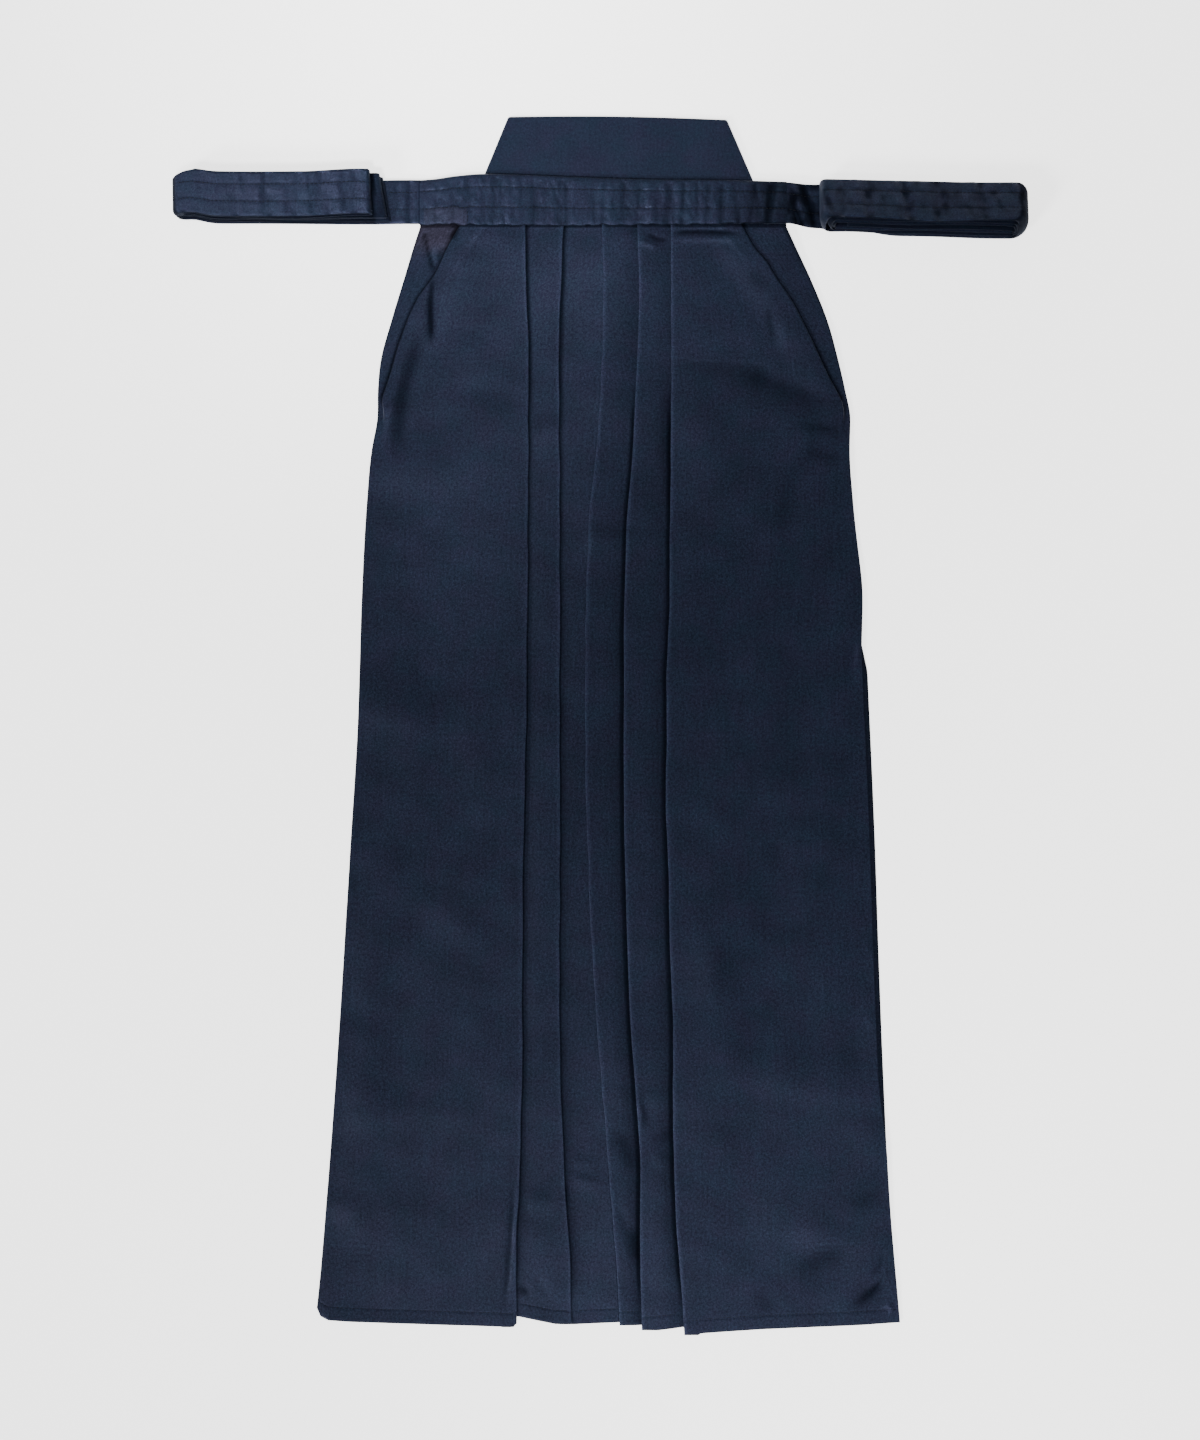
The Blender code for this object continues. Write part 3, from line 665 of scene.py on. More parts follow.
@dataclass(frozen=True)
class WovenFinish:
    """Dyed cloth: a weave of fine ribs, uneven yarn, and slow drifts of shade and hue.

    deep and cool are the two hues it drifts between, and worn is the tone of its paler
    side. rib_pitch is in millimetres and rib_turn in degrees. grain, slub and drift are
    how far the fine yarn, its thick places and the patches swing the shade.
    """

    name: str
    deep: Triple
    cool: Triple
    worn: Triple
    rib_pitch: float
    rib_turn: float
    roughness: float
    grain: float = 0.42
    slub: float = 0.31
    drift: float = 0.15
    sheen: float = 0.05
    specular: float = 0.36
    gloss: Triple = (0.52, 0.58, 1.0)
    sheen_tint: Triple = (0.55, 0.68, 1.0)
    rough_swing: float = 0.04

    # Noises: scale for each metre, detail and roughness
    YARN = (760.0, 5.0, 0.85)
    SLUBS = (500.0, 3.0, 0.75)
    MOTTLE = (42.0, 3.0, 0.6)
    STREAKS = (480.0, 3.0)
    PATCHES = (30.0, 4.0)
    # How the cloth is scaled before them: thick places and streaks are longer than wide
    SLUB_SCALE = (1.0, 0.8, 1.0)
    STREAK_SCALE = (1.0, 0.045, 1.0)
    NOISE_BAND = (0.34, 0.66)  # where nearly all of a noise's values lie
    HUE_BAND = (0.40, 0.60)
    MOTTLE_SHARE = 0.55  # of the hue, the rest being the slubs'
    STREAK_SHARE = 0.3  # of the grain
    RIB_SHARE = 0.4  # of the grain
    DARKEST = 0.2  # of colour and gloss in the deepest painted shade, at -1
    PALEST = 1.5  # of colour and gloss on a pressed edge, worn and painted as a highlight, at 1
    DULL_FROM = -0.6  # from this painted shade down, a crease is quite dull
    RIB_WANDER = 0.6
    RIB_BUMP = (0.00006, 0.5)
    YARN_BUMP = (0.00007, 0.6)

    def build(self) -> Material:
        """Makes the material.

        Returns:
            Colour and gloss that swing with the yarn, darker in the stored painted shade and paler on
            pressed edges, as wear and a painted highlight, over a bump of ribs and yarn. A crease
            is also dull.
        """
        draft = NodeDraft(self.name)

        def swing(value: Socket, reach: float) -> Socket:
            """Spreads a noise to 1 - reach..1 + reach."""
            return draft.spread(value, *self.NOISE_BAND, (1.0 - reach, 1.0 + reach))

        place = draft.attribute("cloth", "Vector")
        turned = draft.scaled(place, (1.0, 1.0, 1.0), self.rib_turn)
        ribs = draft.waves(turned, 0.5 / (self.rib_pitch * MM), self.RIB_WANDER)
        yarn = draft.noise(place, *self.YARN)
        slub = draft.noise(draft.scaled(place, self.SLUB_SCALE), *self.SLUBS)
        mottle = draft.noise(place, *self.MOTTLE)
        streaks = draft.noise(draft.scaled(place, self.STREAK_SCALE), *self.STREAKS)
        patches = draft.noise(place, *self.PATCHES)
        blend = ((mottle, self.MOTTLE_SHARE), (slub, 1.0 - self.MOTTLE_SHARE))
        cloudy = draft.math("ADD", *(draft.math("MULTIPLY", value, share) for value, share in blend))
        hue = draft.mix(draft.spread(cloudy, *self.HUE_BAND, (0.0, 1.0)), self.deep, self.cool)
        worn = draft.mix(draft.spread(draft.attribute("tint", "Fac"), 0.0, 1.0, (0.0, 1.0)), hue, self.worn)
        # The stored value paints shade and light: depth darkens, and edge also pales pressed edges
        press = draft.attribute("press", "Fac")
        depth = draft.spread(press, -1.0, 0.0, (self.DARKEST, 1.0))
        edge = draft.math("MULTIPLY", draft.spread(press, 0.0, 1.0, (1.0, self.PALEST)), depth)
        lively = draft.math("MULTIPLY", swing(yarn, self.grain), swing(slub, self.slub))
        shade = lively
        reaches = (self.grain * self.STREAK_SHARE, self.drift, self.grain * self.RIB_SHARE)
        for value, reach in zip((streaks, patches, ribs), reaches):
            shade = draft.math("MULTIPLY", shade, swing(value, reach))
        draft.link(draft.shade(worn, draft.math("MULTIPLY", shade, edge)), "Base Color")
        draft.link(draft.bump(yarn, *self.YARN_BUMP, draft.bump(ribs, *self.RIB_BUMP)), "Normal")
        shiny, matt = self.roughness - self.rough_swing, self.roughness + self.rough_swing
        rough = draft.spread(patches, 0.3, 0.7, (shiny, matt))
        dull = draft.spread(press, self.DULL_FROM, 0.0, (1.0, shiny))
        draft.link(draft.math("MAXIMUM", rough, dull), "Roughness")
        # The gloss too is painted darker in the painted shade and brighter on pressed edges
        draft.link(draft.shade(self.gloss, draft.math("MULTIPLY", edge, lively)), "Specular Tint")
        draft.set_plain({
            "Metallic": 0.0,
            "IOR": 1.45,
            "Specular IOR Level": self.specular,
            "Specular Tint": (*self.gloss, 1.0),
            "Sheen Weight": self.sheen,
            "Sheen Roughness": 0.5,
            "Sheen Tint": (*self.sheen_tint, 1.0),
        })
        return draft.material


@dataclass(frozen=True)
class ThreadFinish:
    """Twisted sewing thread: slanting light and dark along each stitch."""

    name: str
    colour: Triple
    shadow: Triple
    twist_turn: float = 35.0
    twist_scale: float = 900.0

    def build(self) -> Material:
        """Makes the material.

        Returns:
            Slanting bands between the two colours, with a bump that follows them.
        """
        draft = NodeDraft(self.name)
        turned = draft.scaled(draft.attribute("cloth", "Vector"), (1.0, 1.0, 1.0), self.twist_turn)
        twist = draft.waves(turned, self.twist_scale, 0.2)
        draft.link(draft.mix(twist, self.shadow, self.colour), "Base Color")
        draft.link(draft.bump(twist, 0.00004, 0.6), "Normal")
        draft.set_plain({"Roughness": 0.6, "Specular IOR Level": 0.15})
        return draft.material


@dataclass(frozen=True)
class PaperFinish:
    """The pale paper that the garment lies on, which glows a little."""

    name: str
    colour: Triple
    glow: float

    def build(self) -> Material:
        """Makes the material.

        Returns:
            A matt paper with a fine tooth.
        """
        draft = NodeDraft(self.name)
        tooth = draft.noise(draft.node("TexCoord", {}).outputs["Object"], 600.0, 2.0)
        draft.link(draft.bump(tooth, 0.00002, 0.2), "Normal")
        draft.set_plain({
            "Base Color": (*self.colour, 1.0),
            "Roughness": 0.95,
            "Specular IOR Level": 0.1,
            "Emission Color": (1.0, 1.0, 1.0, 1.0),
            "Emission Strength": self.glow,
        })
        return draft.material


@dataclass(frozen=True)
class Finishes:
    """The finished materials of the whole garment."""

    twill: Material
    strap: Material
    board: Material
    thread: Material
    paper: Material


def make_finishes() -> Finishes:
    """Mixes every finish once.

    Returns:
        The five materials.
    """
    hues = ((0.0082, 0.0090, 0.0212), (0.0050, 0.0106, 0.0204), (0.0185, 0.0150, 0.0240))
    twill = WovenFinish("navy_twill", *hues, rib_pitch=0.62, rib_turn=52.0, roughness=0.45)
    strap = WovenFinish("navy_strap_twill", *hues, 0.62, 38.0, 0.45, slub=0.21, drift=0.12)
    board = WovenFinish("navy_board_cloth", *hues, 0.45, 0.0, 0.50, grain=0.24, slub=0.2, drift=0.05)
    thread = ThreadFinish("navy_thread", (0.0036, 0.0046, 0.0090), (0.0014, 0.0020, 0.0040))
    paper = PaperFinish("pale_paper", (0.80, 0.80, 0.80), 2.4)
    return Finishes(twill.build(), strap.build(), board.build(), thread.build(), paper.build())


def dress(piece: Piece, finish: Material, slot: str, *nodes: str) -> None:
    """Gives a piece its finish, hangs it on the frame's root and hides the solids it stands for.

    Args:
        piece: the finished object.
        finish: its material.
        slot: not used.
        nodes: the solids that it stands for.
    """
    piece.data.materials.append(finish)
    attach(piece, ROOT)
    if nodes:
        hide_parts(*nodes)
    LOG.info("%s: %d points", piece.name, len(piece.data.vertices))


# ---------------------------------------------------------------- stitches
@dataclass(frozen=True)
class Stitching:
    """Rows of short raised stitches along lines on the cloth."""

    pitch: float = 3.3
    length: float = 2.5
    radius: float = 0.26
    rise: float = 0.02
    dip: float = 1.6
    taper: float = 0.85
    turns: float = 1.5
    rings: int = 5
    sides: int = 6

    def stations(self, points: Array, up: Array) -> tuple[Array, Array, Array, Array] | None:
        """Where the rings of the stitches on one line stand.

        Args:
            points: the line, N by XYZ.
            up: the upward direction at each point.

        Returns:
            Centres, upward and forward directions, each stitches by rings by XYZ, and the
            distance along the line, or None where no stitch fits.
        """
        run = running(np.linalg.norm(np.diff(points, axis=0), axis=1))
        count = int((run[-1] - self.length) / self.pitch)
        if count < 1:
            return None
        t = np.linspace(0.0, 1.0, self.rings)
        starts = (run[-1] - count * self.pitch) / 2 + np.arange(count) * self.pitch
        at = starts[:, None] + t * self.length
        centre, normal = (
            np.stack([np.interp(at, run, column) for column in values.T], axis=-1) for values in (points, up)
        )
        normal /= np.linalg.norm(normal, axis=-1, keepdims=True)
        lift = self.rise * (1.0 - self.dip * (2.0 * t - 1.0) ** 2)
        way = np.broadcast_to(centre[:, -1:] - centre[:, :1], centre.shape)
        return centre + normal * lift[None, :, None], normal, way, at

    def build(self, name: str, lines: list[Line]) -> Piece:
        """One mesh of all the stitches on some lines.

        Each stitch is a short tube along its line. Its middle stands rise above the cloth
        and its ends dip in: height = rise * (1 - dip * (2t - 1)²) for t from 0 to 1, and
        its girth shrinks there by taper in the same way, under a square root.

        Args:
            name: the piece's name.
            lines: pairs of points and upward directions, each N by XYZ.

        Returns:
            The new object.
        """
        found = [stations for line in lines if (stations := self.stations(*line)) is not None]
        centre, up, way, run = (np.concatenate(part) for part in zip(*found))
        across = np.cross(way, up)
        across /= np.linalg.norm(across, axis=-1, keepdims=True)
        angle = np.arange(self.sides) * math.tau / self.sides
        t = np.linspace(0.0, 1.0, self.rings)
        girth = self.radius * np.sqrt(1.02 - (2.0 * t - 1.0) ** 2 * self.taper)
        ring = across[..., None, :] * np.cos(angle)[:, None] + up[..., None, :] * np.sin(angle)[:, None]
        points = centre[..., None, :] + ring * girth[None, :, None, None]
        count, size = len(points), self.rings * self.sides
        offsets = (np.arange(count, dtype=np.int32) * size)[:, None, None]
        sides = (grid_faces(self.rings, self.sides, wrap=True)[None] + offsets).reshape(-1, 4)
        ends = np.stack([np.arange(self.sides)[::-1], np.arange(size - self.sides, size)]).astype(np.int32)
        caps = (ends[None] + offsets).reshape(-1, self.sides)
        made = make_mesh(name, points.reshape(-1, 3), [sides[:, ::-1], caps[:, ::-1]])
        cloth = np.zeros((count, self.rings, self.sides, 2))
        cloth[..., 0] = angle / math.tau * self.turns
        cloth[..., 1] = run[..., None]
        blank = np.zeros(cloth.shape[:-1])
        add_values(made, cloth, blank, blank)
        return made


def upward(points: Array) -> Array:
    """Straight up, once for each point."""
    return np.tile(np.array([0.0, 0.0, 1.0]), (len(points), 1))


# ---------------------------------------------------------------- front panels
class Columns:
    """A panel's columns from the outer edge in, with what each of their points is."""

    KEYS = ("out", "height", "reach", "face", "press")

    def __init__(self) -> None:
        """Starts with no columns."""
        self.runs: dict[str, list[Array]] = {key: [] for key in self.KEYS}

    def add(self, out: Array, *values: Array | float) -> None:
        """Takes one run of columns.

        Args:
            out: distance towards the outer side, rows by columns.
            values: height above the bed; reach, the hem's Y; face, 1 where the cloth
                shows; and press, the painted shade and highlight, where it isn't 0. Each fits the shape of
                out.
        """
        padded = (out, *values, 0.0)[: len(self.KEYS)]
        for key, value in zip(self.KEYS, padded):
            self.runs[key].append(np.broadcast_to(value, out.shape))

    def joined(self) -> dict[str, Array]:
        """All the columns side by side, by what they hold."""
        return {key: np.concatenate(runs, axis=1) for key, runs in self.runs.items()}


@dataclass
class FrontLeg:
    """A front panel: side tuck, outer stretch and its knife pleats, with a stitched hem.

    The grid's rows run from the waist to the hem and its columns from the outer edge in,
    folding under each pleat. Places across are distances towards the outer side.
    """

    side: Side
    plan: Plan
    relief: Relief
    names: tuple[str, ...]
    run_columns: int = 13
    close_columns: int = 4
    fold_columns: int = 5
    depth_columns: int = 4
    lead_columns: int = 6
    stretch_columns: int = 45
    face_columns: int = 7
    strip_columns: int = 12
    room: float = 0.95  # how deep a crease may sink
    # The hem's stitch row: how far up, how deep it draws in, and the double cloth below it
    stitch_up: float = 11.2
    groove: float = 0.14
    groove_width: float = 0.8
    turned: float = 0.12
    # Painted shade at the pleats' feet, above and below foot_y, and over the strips
    foot: Pair = (0.6, 0.6)
    foot_width: float = 1.6
    shade: float = 0.24
    shade_width: float = 8.0
    # Tuck and corners, with painted shade beside the tuck's edge and on its fold
    worn: float = 0.0  # how pale the cloth inside the tuck is
    tuck_gloom: float = 0.6
    tuck_edge_shade: float = 0.0
    corner: float = 0.0  # how far the first pleat's hem corner is lifted

    # Rows before the hem's curve: from, to and how many
    ROWS = (
        (440.0, 415.0, 8), (413.2, 388.0, 22), (386.8, 250.0, 66), (246.0, -352.0, 136),
        (-356.0, -474.0, 30), (-477.0, -482.8, 4), (-483.8, -488.0, 8), (-489.5, HEM_ROW_Y, 5),
    )
    CLOSE = 12.0  # the stretch of the tuck's run where columns lie closer
    CLOSE_SHARES = (0.4, 0.15, 0.04)  # of that stretch, from each of its columns to the turn
    FADE_Y = 262.0  # where the tuck's painted shade begins
    FADE = 12.0
    CRACK = (1.9, 0.7)  # width of the tuck's painted shade, and how much wider it is lower down
    CRACK_Y = (335.0, 40.0)
    OPEN_BELOW = 60.0  # from the tuck's end to where its cloth is the panel's own face
    FALL = 30.0  # from the tuck's height down to the bed
    CLIMB = 70.0  # from the bed up to the pleats' height
    SEAM_GAP = 0.15
    EDGE_WIDTH = 2.2  # of a pressed edge, worn and painted paler as a highlight
    CORNER_WIDTH = 2.0
    BLEND = (0.2, 0.8)  # of the hem's step, over the turn under a pleat
    STRIP_RISE = 2.2  # power of a strip's climb on to the next pleat
    HEM_LIGHT_Y = -492.0  # where the painted shade of feet and strips ends
    FOOT_Y = (235.0, 60.0)
    FOOT_HEM = (0.3, 50.0)
    SHADE_Y = (60.0, 160.0)
    SHADE_HEM = 60.0

    @cached_property
    def rows(self) -> Array:
        """Y of each row before the hem's curve, as a column."""
        return np.concatenate([np.linspace(*stretch) for stretch in self.ROWS])[:, None]

    def tuck(self) -> tuple[Array, Array]:
        """Places over the side tuck.

        The cloth runs in under the panel, turns up and back to the slanting edge, and turns
        again. Headings go from 0 to the turn on the first arc and back on the second, and
        the points are the running sum of the steps.

        Returns:
            Distance out, and height above the first run, rows by columns.
        """
        sign, plan, y = self.side.value, self.plan, self.rows
        edge = sign * plan.front_edge(self.side, y)
        end = plan.TUCK_Y[-1]
        last = sign * (plan.front_edge(self.side, end) - plan.tuck(self.side, end))
        closing = np.interp(y, (plan.TUCK_OPEN_Y, end), (plan.TUCK_END_INSET, last))
        under = np.where(y >= end, edge - sign * plan.tuck(self.side, y), closing)
        turn, depth = np.radians(plan.TUCK_TURN(y)), plan.TUCK_DEPTH(y)
        near = np.minimum(0.6 * under, self.CLOSE)
        first, second, third = (under - share * near for share in self.CLOSE_SHARES)
        even = first * np.linspace(0.0, 1.0, self.run_columns - self.close_columns)
        flat = np.concatenate([even, second, third, under + depth / 2, under + depth + FOLD_REACH], axis=1)
        steps = self.fold_columns
        bend = turn * (np.arange(steps) + 0.5) / steps
        straight = np.repeat(turn, self.depth_columns, axis=1)
        heading = np.concatenate([bend, straight, bend[:, ::-1]], axis=1)
        length = np.full(heading.shape, plan.TUCK_PLY * math.sin(math.pi / (2 * steps)))
        length[:, steps:-steps] = depth / self.depth_columns
        run = flat[:, -1:] + np.cumsum(length * np.cos(heading), axis=1)
        height = np.cumsum(length * np.sin(heading), axis=1)
        out = edge - np.concatenate([flat, run], axis=1)
        return out, np.concatenate([np.zeros(flat.shape), height], axis=1)

    def add_outside(self, columns: Columns, end: Array) -> None:
        """Adds the tuck, the turn out of it and the stretch up to the first pleat.

        Args:
            columns: what they are added to.
            end: distance out of the first pleat's inner end.
        """
        sign, plan, y = self.side.value, self.plan, self.rows

        def hem(out: Array) -> Array:
            """Y of the hem at each place."""
            return np.interp(sign * out, *plan.HEM_OUTER[self.side])

        out, height = self.tuck()
        closed = smooth((y - self.FADE_Y) / self.FADE)
        width = self.CRACK[0] + self.CRACK[1] * smooth((self.CRACK_Y[0] - y) / self.CRACK_Y[1])
        # Painted shade in the crack beside the tuck's edge, and on its fold
        press = -self.tuck_gloom * closed * pressed(out - sign * plan.tuck(self.side, y), width)
        press[:, -self.fold_columns - 1 : -1] = self.tuck_edge_shade * closed
        press[:, -1:] = 0.0
        shown = np.arange(out.shape[1]) < self.run_columns - 2
        columns.add(out, height, hem(out), shown | (y < plan.TUCK_Y[-1] - self.OPEN_BELOW), press)
        start = out.min(axis=1, keepdims=True) - plan.FOLD_CLEAR
        last, level = out[:, -1:], height[:, -1:]
        lead = last + (start - last) * np.linspace(0.0, 1.0, self.lead_columns + 2)[1:-1]
        columns.add(lead, level, hem(lead), 1.0)
        span = start - end
        place = span * np.linspace(0.0, 1.0, self.stretch_columns)
        falling = 1.0 - smooth(place / self.FALL)
        rising = smooth(1.0 - (span - place) / self.CLIMB)
        lift = 2 * PLY * rising + level * falling * (1.0 - rising)
        columns.add(start - place, lift, hem(start - place), 1.0)

    def add_pleat(
        self, columns: Columns, name: str, line: Array, depth: Array, stop: Array, foot: Array
    ) -> None:
        """Adds a pleat's face, its pressed edge and the two hidden layers under it.

        Args:
            columns: what they are added to.
            name: the pleat.
            line: distance out of its pressed edge at each row.
            depth: its hidden depth at each row.
            stop: where its lowest layer ends.
            foot: the painted shade at that end.
        """
        edge_y, start_y = self.plan.HEM_STEPS[name][:2]
        edge = line + FOLD_REACH
        share = np.linspace(0.0, 1.0, self.face_columns + 1)[1:]
        out = edge + (depth + self.plan.FOLD_CLEAR - FOLD_REACH) * (1.0 - share)
        lifted = self.corner if name == self.names[0] else 0.0
        hem = edge_y + lifted * pressed(out - line, self.CORNER_WIDTH)
        # The pressed edge is painted paler, partly wear and partly a painted highlight
        columns.add(out, 2 * PLY, hem, 1.0, pressed(out - line, self.EDGE_WIDTH))
        dx, dz = arc(PLY / 2, 90, 270, self.fold_columns + 1)
        columns.add(edge + dx[1:], 1.5 * PLY + dz[1:], hem[:, -1:], 0.0, 1.0)
        inner = np.linspace(0.0, 1.0, self.depth_columns + 2)[1:-1]
        columns.add(edge + (depth - FOLD_REACH) * inner, PLY, edge_y, 0.0)
        dx, dz = arc(PLY / 2, 90, -90, self.fold_columns)
        blend = np.linspace(*self.BLEND, self.fold_columns)
        columns.add(line + depth + dx, 0.5 * PLY + dz, edge_y + (start_y - edge_y) * blend, 0.0)
        share = np.linspace(0.0, 1.0, self.depth_columns + 1)[1:]
        # painted shade at the foot, where the lowest layer ends
        columns.add(line + depth + (stop - line - depth) * share, 0.0, start_y, 0.0, -share * foot)

    def section(self) -> dict[str, Array]:
        """All the columns of the panel at each row.

        Returns:
            What Columns holds, each rows by columns.
        """
        sign, plan, y, columns = self.side.value, self.plan, self.rows, Columns()
        lines = [sign * plan.pleat(name, y) for name in self.names]
        widths = [outer - inner for outer, inner in zip(lines[:-1], lines[1:])]
        depths = [np.full(y.shape, plan.PLEAT_DEPTH)] + [plan.pleat_depth(width) for width in widths]
        ends = [line + depth + plan.FOLD_CLEAR for line, depth in zip(lines, depths)]
        seam = sign * plan.centre_seam(y) + self.SEAM_GAP
        # Painted shade at the pleats' feet and over the strips beside them, both fading near the hem
        foot = self.foot[1] + (self.foot[0] - self.foot[1]) * smooth((y - self.FOOT_Y[0]) / self.FOOT_Y[1])
        least, fade = self.FOOT_HEM
        foot = foot * (least + (1.0 - least) * smooth((y - self.HEM_LIGHT_Y) / fade))
        low = self.shade * (1.0 - smooth((y - self.SHADE_Y[0]) / self.SHADE_Y[1]))
        low = low * smooth((y - self.HEM_LIGHT_Y) / self.SHADE_HEM)
        self.add_outside(columns, ends[0])
        for name, line, depth, goal in zip(self.names, lines, depths, [*ends[1:], seam]):
            if name == "p3":
                self.add_pleat(columns, name, line, depth, seam, foot)
                break
            stop = line - plan.STRIP_LAP
            self.add_pleat(columns, name, line, depth, stop, foot)
            share = np.linspace(0.0, 1.0, self.strip_columns + 1)[1:]
            start_y, end_y = plan.HEM_STEPS[name][1:]
            out = stop + (goal - stop) * share
            # painted shade at the foot of the strip and over it
            gloom = -foot * pressed(out - stop, self.foot_width) - low * pressed(out - stop, self.shade_width)
            rise = 0.0 if name == "p2" else 2 * PLY
            climb = rise * (1.0 - (1.0 - share) ** self.STRIP_RISE)
            columns.add(out, climb, start_y + (end_y - start_y) * share, 1.0, gloom)
        return columns.joined()

    def lifted(self, x: Array, y: Array) -> Array:
        """The relief, free above, and below the plain form no deeper than the room there.

        Args:
            x: places across the panel.
            y: places along it.

        Returns:
            Height to add: below zero it is -room * tanh(depth / room). It fades out under
            the waistband.
        """
        lift = self.relief(x, y)
        fade = smooth((WAIST_Y + 4.0 - y) / 14.0)
        return np.where(lift < 0.0, -self.room * np.tanh(-lift / self.room), lift) * fade

    def surface(self) -> tuple[Surface, Array]:
        """The panel's middle surface.

        Below HEM_CURVE_Y each column is stretched so that its last row meets the hem there.

        Returns:
            The surface, and which of its points show.
        """
        part = self.section()
        x = self.side.value * part["out"]
        rows = np.broadcast_to(self.rows, x.shape)
        share = np.clip((HEM_CURVE_Y - rows) / (HEM_CURVE_Y - HEM_ROW_Y), 0.0, 1.0)
        bent = rows + (part["reach"] - HEM_ROW_Y) * share
        above_hem = bent - part["reach"]
        seam = self.groove * pressed(above_hem - self.stitch_up, self.groove_width)
        turned = self.turned * smooth((self.stitch_up - above_hem) / 2.0)
        height = self.plan.bed(x, rows) + LOOSE + CLOTH / 2 + part["height"]
        height = height + self.lifted(x, bent) + (turned - seam) * (0.3 + 0.7 * part["face"])
        points = np.stack([x, bent, height], axis=-1)
        worn = self.worn * smooth((bent - 386.0) / 16.0)
        worn[:, self.run_columns + self.fold_columns :] = 0.0
        # Painted shade just under the waistband's lower edge, and the creases' painted shade and light
        dark = 0.75 * smooth((bent - WAIST_Y + 1.2) / 1.4) + self.relief.gloom(x, bent)
        press = np.clip(part["press"] - dark, -1.0, 1.0)
        return Surface.of(points, tint=worn, press=press), part["face"]

    def hem_lines(self, surface: Surface, shows: Array) -> list[Line]:
        """The row of hem stitches, cut where it is hidden.

        Args:
            surface: the panel.
            shows: which of its points show.

        Returns:
            One line for each stretch of the row nearest to stitch_up above the hem.
        """
        above = surface.points[:, :, 1] - surface.points[-1:, :, 1]
        row = int(np.argmin(np.abs(np.median(above, axis=1) - self.stitch_up)))
        line, seen = surface.points[row], shows[row] > 0.5
        starts = np.flatnonzero(seen & ~np.concatenate([[False], seen[:-1]]))
        ends = np.flatnonzero(seen & ~np.concatenate([seen[1:], [False]]))
        lines = []
        for first, last in zip(starts, ends):
            part = line[first : last + 1] + np.array([0.0, 0.0, CLOTH / 2])
            lines.append((part, upward(part)))
        return lines

    def build(self, finishes: Finishes) -> None:
        """Makes the panel and its hem stitches, dressed.

        Args:
            finishes: the garment's materials.
        """
        word = self.side.word
        surface, shows = self.surface()
        panel = cloth_wall(f"front_{word}_panel", surface, CLOTH)
        dress(panel, finishes.twill, "twill", f"front_{word}_leg")
        lines = self.hem_lines(surface, shows)
        stitches = Stitching(radius=0.18, rise=0.0).build(f"front_{word}_hem_stitches", lines)
        dress(stitches, finishes.thread, "twill")
        surface.cut()
        surface.area()


